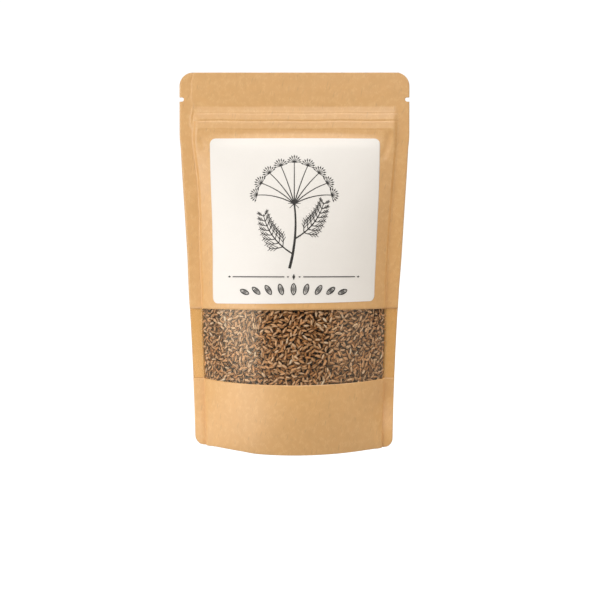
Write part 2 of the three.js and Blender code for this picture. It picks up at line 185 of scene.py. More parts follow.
def filled_bag():
    sizes = {"Flat Piece": "Geometry", "Side": float(FRONT), "Foot Angle": FOOT_ANGLE,
             "Fill Curve": FILL_CURVE, "Puff": PUFF, "Puff Edge": PUFF_EDGE, "Fold": FOLD,
             "Wobble": WOBBLE, "Lean": BACKWARD_LEAN, "Sway": SWAY, "Height": HEIGHT, **PLATEAU}
    tree, given, filled = new_group("filled_bag", "GeometryNodeTree", sizes, {"Filled Piece": "Geometry"})
    flat_across, out, up = separated(tree, from_node(tree, "GeometryNodeInputPosition"))
    panel_shift = looked_up(tree, up, FOLD_HEIGHTS, FOLD_SHIFTS)
    half_panel = looked_up(tree, up, FOLD_HEIGHTS, FOLD_HALVES)
    across = maths(tree, "SUBTRACT", flat_across, panel_shift)

    # The walls close towards the zip, and with them the angle at which they leave the side seals
    closed = maths(tree, "DIVIDE", up, given["Plateau Foot"], clamp=True)
    opened = maths(tree, "SUBTRACT", 1, maths(tree, "POWER", closed, given["Fill Curve"]))
    angle = maths(tree, "MULTIPLY", given["Foot Angle"], maths(tree, "SQRT", opened))
    angle = maths(tree, "MAXIMUM", angle, LEAST_ANGLE)
    radius = maths(tree, "DIVIDE", half_panel, angle)
    turn = maths(tree, "DIVIDE", across, radius)
    rise = maths(tree, "SUBTRACT", maths(tree, "COSINE", turn), maths(tree, "COSINE", angle))

    # Round the zip a flat slope takes the place of the arc
    inward = maths(tree, "SUBTRACT", half_panel, maths(tree, "ABSOLUTE", across))
    slope = maths(tree, "SUBTRACT", given["Header Foot"], given["Plateau Foot"])
    plateau = maths(tree, "DIVIDE", maths(tree, "SUBTRACT", given["Header Foot"], up), slope, clamp=True)
    plateau = maths(tree, "MULTIPLY", plateau, ramp(tree, inward, 0, given["Puff Edge"]))
    plateau = maths(tree, "MULTIPLY", plateau, given["Puff"])
    share = ramp(tree, up, given["Fade Foot"], given["Plateau Foot"])
    panel_across = between(tree, maths(tree, "MULTIPLY", radius, maths(tree, "SINE", turn)), across, share)
    panel_depth = between(tree, maths(tree, "MULTIPLY", radius, rise), plateau, share)
    panel_depth = maths(tree, "MAXIMUM", panel_depth, 0)

    # The flat seal strip beyond the fold, which wanders a little
    sign = maths(tree, "SIGN", across)
    edge = between(tree, maths(tree, "MULTIPLY", radius, maths(tree, "SINE", angle)), half_panel, share)
    strip_across = maths(tree, "MULTIPLY", sign, maths(tree, "SUBTRACT", edge, inward))
    along = maths(tree, "MULTIPLY", up, WOBBLES_PER_METRE)
    wander = noise(tree, combined(tree, maths(tree, "MULTIPLY", sign, 3), 0, along), 1)
    shift = maths(tree, "MULTIPLY", maths(tree, "SUBTRACT", wander, 0.5), given["Wobble"])
    fold = ramp(tree, maths(tree, "ADD", inward, shift), given["Fold"], FOLD_END)

    # What lies inside the wall is pressed flat at the fold
    inside = maths(tree, "MINIMUM", out, 0)
    out = maths(tree, "SUBTRACT", out, maths(tree, "MULTIPLY", inside, fold))
    wall_across = between(tree, panel_across, strip_across, fold)
    wall_depth = between(tree, panel_depth, 0, fold)
    flatness = between(tree, share, 1, fold)
    normal_across = between(tree, maths(tree, "SINE", turn), 0, flatness)
    normal_depth = between(tree, maths(tree, "COSINE", turn), 1, flatness)
    final_across = maths(tree, "MULTIPLY_ADD", out, normal_across, wall_across)
    final_depth = maths(tree, "MULTIPLY_ADD", out, normal_depth, wall_depth)
    lean = maths(tree, "POWER", maths(tree, "DIVIDE", up, given["Height"]), 2)
    lean = maths(tree, "MULTIPLY", lean, given["Lean"])
    sway = maths(tree, "MULTIPLY", ramp(tree, up, *SWAY_HEIGHTS), given["Sway"])
    final_across = maths(tree, "ADD", final_across, maths(tree, "ADD", panel_shift, sway))
    final_depth = maths(tree, "MULTIPLY_ADD", final_depth, given["Side"], lean)
    place = combined(tree, final_across, final_depth, up)
    move = {"Geometry": given["Flat Piece"], "Position": place}
    feed(tree, filled, (from_node(tree, "GeometryNodeSetPosition", move),))
    return tree


# Across the foot, in millimetres: the place, and how far the foot comes forward there, most at
# its right corner, which is also drawn in where it comes further than TURNED_FROM
FOOT = ((-66, 0), (-56, 0.4), (-51.6, 1.4), (-46, -0.6), (-40.8, -1.6), (-30, -0.8), (-19, 1.8),
        (0, 2.2), (22, 2.2), (34, 2.5), (43.5, 4.2), (48.5, 6.8), (53, 7.6), (66, 7.8))
FOOT_PLACES, FOOT_FORWARD = (np.array(FOOT) * MM).T.tolist()
TURNED_FROM = 2.2 * MM


def pressed_foot():
    """The foot of the whole bag: it bulges less than the walls above it, and its right corner is
    turned forward and in."""
    sizes = {"Piece": "Geometry", "Top": 30 * MM, "Flatter by": 0.145, "Drawn In by": 0.15}
    tree, given, pressed = new_group("pressed_foot", "GeometryNodeTree", sizes, {"Pressed Piece": "Geometry"})
    across, depth, up = separated(tree, from_node(tree, "GeometryNodeInputPosition"))
    share = ramp(tree, up, given["Top"], 0)
    forward = looked_up(tree, across, FOOT_PLACES, FOOT_FORWARD)
    change = maths(tree, "MULTIPLY_ADD", depth, given["Flatter by"], forward)
    turned = maths(tree, "MAXIMUM", maths(tree, "SUBTRACT", forward, TURNED_FROM), 0)
    drawn = maths(tree, "MULTIPLY", turned, given["Drawn In by"])
    moves = [maths(tree, "MULTIPLY", maths(tree, "MULTIPLY", way, share), -1) for way in (drawn, change)]
    move = {"Geometry": given["Piece"], "Offset": combined(tree, *moves)}
    feed(tree, pressed, (from_node(tree, "GeometryNodeSetPosition", move),))
    return tree


FILLED_BAG = filled_bag()
PRESSED_FOOT = pressed_foot()


def with_tree(piece, tree, settings):
    modifier = piece.modifiers.new(tree.name, "NODES")
    modifier.node_group = tree
    for name, value in settings.items():
        modifier[tree.interface.items_tree[name].identifier] = value


def made_real(piece):
    """Turns what the node trees make of a piece into its plain mesh."""
    graph = bpy.context.evaluated_depsgraph_get()
    shown = piece.evaluated_get(graph)
    mesh = bpy.data.meshes.new_from_object(shown, preserve_all_data_layers=True, depsgraph=graph)
    piece.modifiers.clear()
    piece.data = mesh
    piece.data.name = piece.name
    return piece


def fill(piece, side):
    """Makes a flat piece a part of the filled bag."""
    with_tree(piece, FILLED_BAG, {"Side": float(side)})
    with_tree(piece, PRESSED_FOOT, {})
    return made_real(piece)


def new_piece(name, vertices, faces, smooth=True):
    mesh = bpy.data.meshes.new(name)
    mesh.from_pydata([tuple(vertex) for vertex in vertices], [], [tuple(face) for face in faces])
    mesh.update()
    if smooth:
        mesh.shade_smooth()
    piece = bpy.data.objects.new(name, mesh)
    bpy.context.scene.collection.objects.link(piece)
    return piece


# Each wall is one sheet with round corners and a tear notch at each end of the header. Heat seals
# press its edges flat, and the zip behind the paper shows as ridges in it.
PAPER = 0.34 * MM
SEALED_OUT = 0.42 * MM
PANEL_OUT = 0.85 * MM
TOP_CORNER = 7.6 * MM
FOOT_CORNER = 5 * MM
NOTCH_HEIGHT = 195.2 * MM
NOTCH_DEPTH = 2.4 * MM
NOTCH_RADIUS = 1.25 * MM
HEADER_TRIM = 0.25 * MM
TRIM_HEIGHTS = (150 * MM, 175 * MM)
ZIP_TAPE = (177.7 * MM, 187.7 * MM)
ZIP_GROOVES = ((187.2 * MM, 0.14 * MM), (182.8 * MM, 0.22 * MM), (177.7 * MM, 0.10 * MM))
TAPE_RISE = 0.14 * MM
GROOVE_WIDTH = 0.42 * MM
SEAL_PRINT = 0.26 * MM
SEAL_PRINT_RIGHT = 0.15
PINCH = 0.38 * MM
SWELL = 0.40 * MM
RIPPLE = 0.05 * MM

# The rows of points lie closest over the zip and round the notches and corners
ROW_STEP = 1.25 * MM
ZIP_ROW_STEP = 0.36 * MM
HEADER_ROW_STEP = 1.2 * MM
ZIP_ROWS = (175.4 * MM, 193.2 * MM)
HEADER_ROWS = 197.2 * MM
LEAST_ROW = 0.2 * MM
FOOT_CORNER_STEPS = 8
TOP_CORNER_STEPS = 12
NOTCH_STEPS = 12

# The columns, as shares of the way from the panel's middle to its folds, at 1, and on to the
# edges, at 2: a first one, a last one and the step between them
PANEL_COLUMNS = (0, 0.925, 0.0195)
FOLD_COLUMNS = (0.931, 1.012, 0.0058)
SEAL_COLUMNS = (1.08, 2, 0.15)


def smooth(value, start, end):
    share = np.clip((value - start) / (end - start), 0, 1)
    return share * share * (3 - 2 * share)


def spaced(start, end, step):
    return list(np.linspace(start, end, max(2, round((end - start) / step) + 1)))


def quarter(radius, steps):
    """How far a round corner's points lie in from its edge, from the edge inwards."""
    return [radius * (1 - math.cos(k / steps * math.pi / 2)) for k in range(steps + 1)]


def half_width(v):
    half = HALF - HEADER_TRIM * smooth(v, *TRIM_HEIGHTS)
    notch = NOTCH_RADIUS**2 - (v - NOTCH_HEIGHT) ** 2
    if notch > 0:
        return half - NOTCH_DEPTH + NOTCH_RADIUS - math.sqrt(notch)
    for radius, past in ((TOP_CORNER, v - (HEIGHT - TOP_CORNER)), (FOOT_CORNER, FOOT_CORNER - v)):
        if past > 0:
            return half - radius + math.sqrt(max(0, radius**2 - past**2))
    return half


def wall_rows(low, high):
    turns = [k / NOTCH_STEPS * math.pi for k in range(NOTCH_STEPS + 1)]
    notch = [NOTCH_HEIGHT - NOTCH_RADIUS * math.cos(turn) for turn in turns]
    rows = [*quarter(FOOT_CORNER, FOOT_CORNER_STEPS),
            *spaced(FOOT_CORNER + MM, 175 * MM, ROW_STEP),
            *spaced(*ZIP_ROWS, ZIP_ROW_STEP),
            notch[0] - 0.01 * MM, *notch, notch[-1] + 0.01 * MM,
            *spaced(HEADER_ROWS, HEIGHT - TOP_CORNER - MM, HEADER_ROW_STEP),
            *(HEIGHT - inset for inset in reversed(quarter(TOP_CORNER, TOP_CORNER_STEPS)))]
    return np.array([low, *(v for v in rows if low + LEAST_ROW < v < high - LEAST_ROW), high])


def panel(v):
    """Where the panel's middle lies at a height, and half its width."""
    return np.interp(v, FOLD_HEIGHTS, FOLD_SHIFTS), np.interp(v, FOLD_HEIGHTS, FOLD_HALVES)


def within_seals(u, v):
    """How far inside the side seals a place on the flat bag is."""
    middle, half = panel(v)
    return half - np.abs(u - middle)


def wall_columns():
    half = [*spaced(*PANEL_COLUMNS), *spaced(*FOLD_COLUMNS), *spaced(*SEAL_COLUMNS)]
    return np.array([-share for share in half[:0:-1]] + half)


def drawn_in(columns, v):
    """Where the columns of one row lie across the flat bag."""
    middle, half = panel(v)
    side = np.sign(columns)
    strip = half_width(v) - (half + side * middle)
    inner = np.minimum(np.abs(columns), 1)
    return middle + side * (half * inner + strip * (np.abs(columns) - inner))


def wall_grid(rows):
    """Where the points of each row lie, across and up the flat bag."""
    columns = wall_columns()
    across = np.array([drawn_in(columns, v) for v in rows])
    return across, np.repeat(rows[:, None], len(columns), axis=1)


def waves(u, v, lengths, start):
    """Gentle waves across a sheet in random directions, one for each length, up to 1 high."""
    random = np.random.default_rng(start)
    total = 0
    for length in lengths:
        turn, phase = random.uniform(0, math.tau, 2)
        total = total + np.sin((u * math.cos(turn) + v * math.sin(turn)) * math.tau / length + phase)
    return total / len(lengths)


def dent(u, v, start, end, width):
    """A valley from one point to another, 1 deep along its line."""
    along = np.subtract(end, start)
    share = np.clip(((u - start[0]) * along[0] + (v - start[1]) * along[1]) / (along @ along), 0, 1)
    away = (u - start[0] - share * along[0]) ** 2 + (v - start[1] - share * along[1]) ** 2
    return np.exp(-away / width**2)


def seal_imprint(u, v):
    """The line that the side seal's hot jaw leaves up the header, plain only at the left."""
    wander = 0.5 * MM * np.sin(v / (3.1 * MM)) + 0.3 * MM * np.sin(v / (1.3 * MM) + 1)
    line = np.exp(-(((within_seals(u, v) + wander) / (0.5 * MM)) ** 2)) * smooth(v, 189 * MM, 192 * MM)
    return -SEAL_PRINT * line * np.where(u < 0, 1, SEAL_PRINT_RIGHT)


def pinch(u, v):
    """The fold pinched up beside the left end of the zip."""
    wander = 0.45 * MM * np.sin(v / (2.2 * MM)) - 0.4 * MM
    ridge = np.exp(-(((within_seals(u, v) + wander) / (0.7 * MM)) ** 2))
    return PINCH * ridge * smooth(v, 176 * MM, 181 * MM) * smooth(v, 198 * MM, 193 * MM) * (u < 0)


def zip_relief(u, v):
    """The tape's edges and grooves in the paper over the zip, which waver a little."""
    along = smooth(within_seals(u, v), 0.2 * MM, 1.6 * MM)
    waver = 0.12 * MM * np.sin(u / (5.3 * MM)) + 0.10 * MM * np.sin(u / (13 * MM) + 2)
    low, high = ZIP_TAPE
    tape = smooth(v, low - 0.7 * MM, low + 0.7 * MM) * smooth(v, high + 1.3 * MM, high - 1.1 * MM)
    grooves = sum(deep * np.exp(-(((v + waver - at) / GROOVE_WIDTH) ** 2)) for at, deep in ZIP_GROOVES)
    return along * (TAPE_RISE * tape - grooves)


def panel_share(u, v):
    """0 on the seals and 1 on the panel between them."""
    return smooth(within_seals(u, v), 0, 3 * MM) * smooth(v, 191.4 * MM, 182 * MM)


def paper_relief(u, v, side):
    """How far the paper's outer face stands off the plain filled shape."""
    inside = panel_share(u, v)
    slack = inside * smooth(v, 18 * MM, 48 * MM) * smooth(v, 178 * MM, 160 * MM)
    seal = (1 - inside) * smooth(HALF - np.abs(u), -1 * MM, 6 * MM)
    swell = SWELL * slack * waves(u, v, (37 * MM, 52 * MM, 71 * MM), 11 + side)
    ripple = RIPPLE * seal * waves(u, v, (9 * MM, 13 * MM, 23 * MM), 21 + side)
    return swell + ripple + zip_relief(u, v) + seal_imprint(u, v) + pinch(u, v)


def back_dents(u, v):
    left = dent(u, v, (-53 * MM, 175 * MM), (-47 * MM, 160 * MM), 2.1 * MM)
    right = dent(u, v, (54 * MM, 174 * MM), (50 * MM, 166 * MM), 1.6 * MM)
    return -(0.6 * left + 0.4 * right) * MM


def wall_face(u, v, side, dents):
    """How far a wall's outer face stands out from the plane where the two walls meet."""
    inside = panel_share(u, v)
    plain = SEALED_OUT + (PANEL_OUT - SEALED_OUT) * inside
    return plain + paper_relief(u, v, side) + dents(u, v) * inside


def back_face(u, v):
    return wall_face(u, v, BACK, back_dents)


def flat_sheet(name, across, up, outer, inner, along=None):
    """A closed sheet from grids of its places on the flat bag and of its two faces. Slot 0 is its
    outer face and its edges, and slot 1 its inner face. The paper's grain follows the distance
    along the sheet, which is the height unless it is given."""
    rows, columns = across.shape
    vertices = [np.stack([across, face, up], axis=-1).reshape(-1, 3) for face in (outer, inner)]
    count = rows * columns
    at = np.arange(count).reshape(rows, columns)
    quads = np.stack([at[:-1, :-1], at[:-1, 1:], at[1:, 1:], at[1:, :-1]], axis=-1).reshape(-1, 4)
    rim = np.concatenate([at[0, :-1], at[:-1, -1], at[-1, :0:-1], at[:0:-1, 0]])
    following = np.roll(rim, -1)
    edges = np.stack([rim, rim + count, following + count, following], axis=-1)
    faces = np.concatenate([quads, quads[:, ::-1] + count, edges])
    sheet = new_piece(name, np.concatenate(vertices), faces)
    slots = np.zeros(len(faces), dtype=np.int32)
    slots[len(quads):2 * len(quads)] = 1
    sheet.data.polygons.foreach_set("material_index", slots)
    flat = sheet.data.uv_layers.new(name="flat")
    corners = np.empty(len(sheet.data.loops), dtype=np.int32)
    sheet.data.loops.foreach_get("vertex_index", corners)
    laid = up if along is None else along
    places = np.tile(np.stack([across, laid], axis=-1).reshape(-1, 2), (2, 1))
    flat.data.foreach_set("uv", places[corners].astype(np.float32).ravel())
    return sheet


def facing_out(piece):
    """Turns the faces round if the closed mesh is inside out."""
    mesh = piece.data
    mesh.calc_loop_triangles()
    places = np.array([vertex.co for vertex in mesh.vertices])
    a, b, c = (places[[triangle.vertices[k] for triangle in mesh.loop_triangles]] for k in range(3))
    if np.einsum("ij,ij->i", a, np.cross(b, c)).sum() < 0:
        mesh.flip_normals()
    return piece


def wall_sheet(name, rows, side, face_at, shift=None):
    across, up = wall_grid(rows)
    if shift is not None:
        up = up + shift(across, up)
    outer = face_at(across, up)
    return facing_out(fill(flat_sheet(name, across, up, outer, outer - PAPER), side))


# The paper is unbleached: cloudy where the pulp is uneven, with pale strands and dark flecks lying
# in it, mostly along the web. Its inner face carries a clear lining, which deepens its colour. A
# lay of fibres is its direction in degrees and an offset that sets it apart from the others.
LAYS_OF_STRANDS = ((4, 0), (-31, 2), (38, 5))
LAY_OF_FLECKS = (12, 9)
CLOUD_DARKEST = 0.93
CLOUD_LIGHTEST = 1.06
STRANDS_SHOW = 0.45
FLECKS_SHOW = 0.3


def fibre_group():
    sizes = {"Place": "Vector", "Fibres per Metre": 900.0, "Stretch": 7.0, "Cloud per Metre": 130.0}
    masks = dict.fromkeys(("Strands", "Flecks", "Cloud", "Height"), "Float")
    tree, given, shown = new_group("paper_fibres", "ShaderNodeTree", sizes, masks)

    def turned(degrees, offset):
        """The place turned to one lay of fibres and squeezed along it."""
        lay = {"Vector": given["Place"], "Location": (offset, offset, 0),
               "Rotation": (0, 0, math.radians(degrees))}
        place = from_node(tree, "ShaderNodeMapping", lay)
        shape = combined(tree, 1, given["Stretch"], 1)
        return from_node(tree, "ShaderNodeVectorMath", (place, shape), operation="DIVIDE")

    def per_fibre(share):
        return maths(tree, "MULTIPLY", given["Fibres per Metre"], share)

    strands = 0.0
    for degrees, offset in LAYS_OF_STRANDS:
        line = noise(tree, turned(degrees, offset), given["Fibres per Metre"], 1.5)
        ridge = maths(tree, "ABSOLUTE", maths(tree, "SUBTRACT", line, 0.5))
        strands = maths(tree, "MAXIMUM", strands, ramp(tree, ridge, 0.035, 0.0))
    patch = noise(tree, given["Place"], per_fibre(0.35), 1)
    strands = maths(tree, "MULTIPLY", strands, ramp(tree, patch, 0.42, 0.62))
    fleck = noise(tree, turned(*LAY_OF_FLECKS), per_fibre(1.4), 0)
    grain = noise(tree, given["Place"], per_fibre(2.5), 2)
    feed(tree, shown, {"Strands": strands,
                       "Flecks": ramp(tree, fleck, 0.70, 0.80),
                       "Cloud": noise(tree, given["Place"], given["Cloud per Metre"], 3),
                       "Height": maths(tree, "MULTIPLY_ADD", strands, 0.5, grain)})
    return tree


PAPER_FIBRES = fibre_group()


def coloured(tree, share, *colours):
    """A colour between two, each a plain one or a socket's."""
    first, second = (c if isinstance(c, bpy.types.NodeSocket) else (*c, 1) for c in colours)
    return from_node(tree, "ShaderNodeMix", {0: share, 6: first, 7: second}, 2, data_type="RGBA")


def new_material(name):
    material = bpy.data.materials.new(name)
    material.use_nodes = True
    return material, material.node_tree, material.node_tree.nodes["Principled BSDF"]


def laid_out(tree, uv_map):
    return from_node(tree, "ShaderNodeUVMap", uv_map=uv_map)


def bump(tree, height, strength, distance):
    return from_node(tree, "ShaderNodeBump", {"Height": height, "Strength": strength, "Distance": distance})


def fibres_in(tree, per_metre, stretch, clouds):
    """What the fibres put out for a sheet laid flat."""
    node = tree.nodes.new("ShaderNodeGroup")
    node.node_tree = PAPER_FIBRES
    feed(tree, node, {"Place": laid_out(tree, "flat"), "Fibres per Metre": per_metre,
                      "Stretch": stretch, "Cloud per Metre": clouds})
    return node.outputs


def kraft(name, plain, strand, fleck, roughness, specular):
    material, tree, surface = new_material(name)
    fibres = fibres_in(tree, per_metre=900, stretch=7, clouds=130)
    dark = [CLOUD_DARKEST * value for value in plain]
    light = [CLOUD_LIGHTEST * value for value in plain]
    colour = coloured(tree, fibres["Cloud"], dark, light)
    colour = coloured(tree, maths(tree, "MULTIPLY", fibres["Strands"], STRANDS_SHOW), colour, strand)
    colour = coloured(tree, maths(tree, "MULTIPLY", fibres["Flecks"], FLECKS_SHOW), colour, fleck)
    feed(tree, surface, {
        "Base Color": colour,
        "Roughness": maths(tree, "MULTIPLY_ADD", fibres["Cloud"], 0.14, roughness - 0.07),
        "Specular IOR Level": specular,
        "IOR": 1.58,
        "Normal": bump(tree, fibres["Height"], 0.35, 0.05 * MM)})
    return material


KRAFT = kraft("kraft_paper", plain=(0.719, 0.384, 0.121), strand=(0.84, 0.52, 0.205),
              fleck=(0.44, 0.22, 0.072), roughness=0.46, specular=1.0)
KRAFT_LINED = kraft("kraft_paper_lined", plain=(0.86, 0.49, 0.15), strand=(0.92, 0.60, 0.26),
                    fleck=(0.46, 0.22, 0.06), roughness=0.34, specular=0.5)


def dress(piece, *materials):
    for material in materials:
        piece.data.materials.append(material)


back_wall = wall_sheet("back_wall", wall_rows(0, HEIGHT), BACK, back_face)
dress(back_wall, KRAFT, KRAFT_LINED)
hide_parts("back_panel")
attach(back_wall, "root")

# The front wall above the window
# Kraft paper from the window to the top edge, cut nearly straight where the window starts. The
# fill pushes it up in both corners under the zip.

WINDOW_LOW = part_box("window_film")[0].z
WINDOW_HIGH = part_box("window_film")[1].z
HALF_PANEL = HALF - 6.5 * MM
TOP_EDGE_ENDS = 77.4 * MM
TOP_EDGE_MIDDLE = 77.8 * MM
TOP_EDGE_REACH = 12 * MM
LEFT_SHOULDER = 0.85 * MM
RIGHT_SHOULDER = 0.45 * MM


def shoulders(u, v):
    """The fill pushed up into both corners under the zip, more so at the left."""
    level = smooth(v, 178.5 * MM, 168.5 * MM) * smooth(v, 122 * MM, 165 * MM)
    left = LEFT_SHOULDER * smooth(u, -30 * MM, -50 * MM)
    right = RIGHT_SHOULDER * smooth(u, 30 * MM, 50 * MM)
    return (left + right) * level


def front_dents(u, v):
    right = dent(u, v, (53.5 * MM, 175 * MM), (50.5 * MM, 163 * MM), 1.9 * MM)
    left = dent(u, v, (-54.0 * MM, 175.5 * MM), (-51 * MM, 168 * MM), 1.7 * MM)
    corner = dent(u, v, (55.5 * MM, 12 * MM), (51 * MM, 24 * MM), 2.0 * MM)
    return shoulders(u, v) - (0.75 * right + 0.35 * left + 0.25 * corner) * MM


def front_face(u, v):
    """The outer face of the front wall: what the label lies on."""
    return wall_face(u, v, FRONT, front_dents)


def edge_line(u, ends, middle):
    """The height of a window edge that bows between its two ends."""
    return ends + (middle - ends) * np.clip(1 - (u / HALF_PANEL) ** 2, 0, 1)


def window_top_shift(u, v):
    past = edge_line(u, TOP_EDGE_ENDS, TOP_EDGE_MIDDLE) - WINDOW_HIGH
    return past * smooth(v, WINDOW_HIGH + TOP_EDGE_REACH, WINDOW_HIGH)


upper_rows = wall_rows(WINDOW_HIGH, HEIGHT)
upper_wall = wall_sheet("front_wall_above_window", upper_rows, FRONT, front_face, window_top_shift)
dress(upper_wall, KRAFT, KRAFT_LINED)
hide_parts("front_panel_upper")
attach(upper_wall, "root")

# The front wall below the window
# Kraft paper from the window down to the foot, sealed to the back wall at its sides and to the
# gusset at its foot. Its upper edge sags in the middle, where the fill pushes it out.

LOW_EDGE_ENDS = 38.0 * MM
LOW_EDGE_MIDDLE = 37.8 * MM
LOW_EDGE_REACH = 22 * MM


def window_foot_shift(u, v):
    past = edge_line(u, LOW_EDGE_ENDS, LOW_EDGE_MIDDLE) - WINDOW_LOW
    return past * smooth(v, WINDOW_LOW - LOW_EDGE_REACH, WINDOW_LOW)


lower_rows = wall_rows(0, WINDOW_LOW)
lower_wall = wall_sheet("front_wall_below_window", lower_rows, FRONT, front_face, window_foot_shift)
dress(lower_wall, KRAFT, KRAFT_LINED)
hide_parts("front_panel_lower")
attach(lower_wall, "root")

# The window film
# A clear glossy film the full width of the front wall, laminated behind both papers. The seeds
# press small dimples into it. It is so thin that light goes straight through, less its shine.

FILM_OUT = 0.46 * MM
FILM = 0.10 * MM
FILM_OVERLAP = 2.5 * MM
FILM_DIMPLES = 0.02 * MM
FILM_RELIEF = 0.4
FILM_SHINE = 2.0
RIPPLES_PER_METRE = 420


def film_face(u, v):
    inside = smooth(within_seals(u, v), 0, 3 * MM)
    dimples = waves(u, v, (6.1 * MM, 8.3 * MM, 11 * MM, 17 * MM), 5) * FILM_DIMPLES
    return (FILM_OUT + dimples + FILM_RELIEF * paper_relief(u, v, FRONT)) * inside + FILM / 2 * (1 - inside)


def clear_film():
    material, tree, surface = new_material("clear_film")
    tree.nodes.remove(surface)
    ripple = noise(tree, laid_out(tree, "flat"), RIPPLES_PER_METRE)
    shine = from_node(tree, "ShaderNodeBsdfGlossy", {
        "Color": (1.0, 0.83, 0.62, 1),
        "Roughness": 0.24,
        "Normal": bump(tree, ripple, 0.15, 0.12 * MM)})
    through = from_node(tree, "ShaderNodeBsdfTransparent", {"Color": (0.985, 0.975, 0.955, 1)})
    edge_on = from_node(tree, "ShaderNodeFresnel", {"IOR": 1.5})
    outside = maths(tree, "SUBTRACT", 1, from_node(tree, "ShaderNodeNewGeometry", out="Backfacing"))
    share = maths(tree, "MULTIPLY", maths(tree, "MULTIPLY", edge_on, FILM_SHINE), outside)
    mixed = from_node(tree, "ShaderNodeMixShader", (share, through, shine))
    feed(tree, tree.nodes["Material Output"], {"Surface": mixed})
    return material


film_across, film_up = wall_grid(np.array(spaced(WINDOW_LOW - FILM_OVERLAP, WINDOW_HIGH + FILM_OVERLAP, MM)))
film_outer = film_face(film_across, film_up)
window = flat_sheet("window", film_across, film_up, film_outer, film_outer - FILM)
facing_out(fill(window, FRONT))
dress(window, clear_film())
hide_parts("window_film")
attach(window, "root")

# The bottom gusset
# A folded kraft sheet sealed inside both walls. Its seal is low in the middle of the foot and
# climbs to the fold at the sides, and the seeds press its floor flat on the table.

GUSSET_HALF = 47.5 * MM
GUSSET_FLAT_HALF = 18 * MM
GUSSET_SEAL_LOW = 5 * MM
GUSSET_FOLD = 40 * MM
GUSSET_FLOOR_SHARE = 0.4
GUSSET_OUT = 0.28 * MM
GUSSET_STATIONS = 44
GUSSET_CLIMB_POINTS = 9
GUSSET_CROSS_POINTS = 49
GUSSET_CROSSING = 0.96


def wall_angle(v):
    closed = np.clip(v / PLATEAU["Plateau Foot"], 0, 1) ** FILL_CURVE
    return np.maximum(LEAST_ANGLE, FOOT_ANGLE * np.sqrt(1 - closed))


def wall_depth(x, v, out):
    """How far a wall stands from the bag's middle plane at a given x, moved out by a distance."""
    angle = wall_angle(v)
    radius = HALF_PANEL / angle
    return np.sqrt(np.maximum(0, (radius + out) ** 2 - x * x)) - radius * np.cos(angle)


def gusset_rise(x):
    return np.clip((np.abs(x) - GUSSET_FLAT_HALF) / (GUSSET_HALF - GUSSET_FLAT_HALF), 0, 1) ** 2


def gusset_seal(x):
    return GUSSET_SEAL_LOW + (GUSSET_FOLD - GUSSET_SEAL_LOW) * gusset_rise(x)


def gusset_floor(x, share):
    """The sheet's height at x, at a share of the depth from the middle plane to the walls."""
    lowest = PAPER + (GUSSET_FOLD - MM - PAPER) * gusset_rise(x)
    sag = np.clip((np.abs(share) - GUSSET_FLOOR_SHARE) / (1 - GUSSET_FLOOR_SHARE), 0, 1) ** 2
    return lowest + (gusset_seal(x) - lowest) * sag


def gusset_section(x):
    """The sheet at x, from its seal in front to its seal behind, as depths and heights."""
    seal = gusset_seal(x)
    climbing = [(-wall_depth(x, v, GUSSET_OUT), v) for v in np.linspace(0, seal, GUSSET_CLIMB_POINTS)]
    depth = wall_depth(x, seal, GUSSET_OUT)
    shares = np.linspace(-GUSSET_CROSSING, GUSSET_CROSSING, GUSSET_CROSS_POINTS)
    crossing = [(share * depth, gusset_floor(x, share)) for share in shares]
    return np.array(climbing + crossing + [(-y, z) for y, z in reversed(climbing)])


def beside(section, distance):
    """The section moved sideways by a distance, with its two ends kept level."""
    along = np.gradient(section, axis=0)
    along /= np.linalg.norm(along, axis=1)[:, None]
    side = np.stack([-along[:, 1], along[:, 0]], axis=1)
    side[0] = (-1, 0)
    side[-1] = (1, 0)
    return section + side * distance


turns = np.arange(-GUSSET_STATIONS, GUSSET_STATIONS + 1) / GUSSET_STATIONS * math.pi / 2
stations = GUSSET_HALF * np.sin(turns)
sections = [gusset_section(x) for x in stations]
across = np.repeat(stations[:, None] + FOLD_SHIFTS[0] + SWAY, len(sections[0]), axis=1)
upper, under = (np.array([beside(section, out) for section in sections]) for out in (PAPER / 2, -PAPER / 2))
steps = np.linalg.norm(np.diff(sections, axis=1), axis=2)
along = np.concatenate([np.zeros((len(steps), 1)), np.cumsum(steps, axis=1)], axis=1)
gusset = flat_sheet("bottom_gusset_sheet", across, upper[..., 1], upper[..., 0], under[..., 0], along)
heights = np.concatenate([upper[..., 1].ravel(), under[..., 1].ravel()])
for vertex, height in zip(gusset.data.vertices, heights):
    vertex.co.z = height
with_tree(gusset, PRESSED_FOOT, {})
facing_out(made_real(gusset))
dress(gusset, KRAFT, KRAFT_LINED)
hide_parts("bottom_gusset")
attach(gusset, "root")

# The zip
# Two moulded strips of milky plastic: a tape with one tongue welded inside the front wall, and a
# tape with two rails that hold it inside the back wall.

TAPE = 0.22 * MM
TAPE_INSET = 0.1 * MM
TAPE_GAP = 0.03 * MM
TAPE_ROW_STEP = 0.14 * MM
TAPE_COLUMN_STEP = 2 * MM
ZIP_HALF = 53.5 * MM
ZIP_MIDDLE = 182.4 * MM
ZIP_REACH = 1.75 * MM
RIB_HALF = 0.42 * MM
RIB_FOOT = 0.14 * MM
RAIL_AT = 1.25 * MM
STREAKS_PER_METRE = (60, 900, 900)


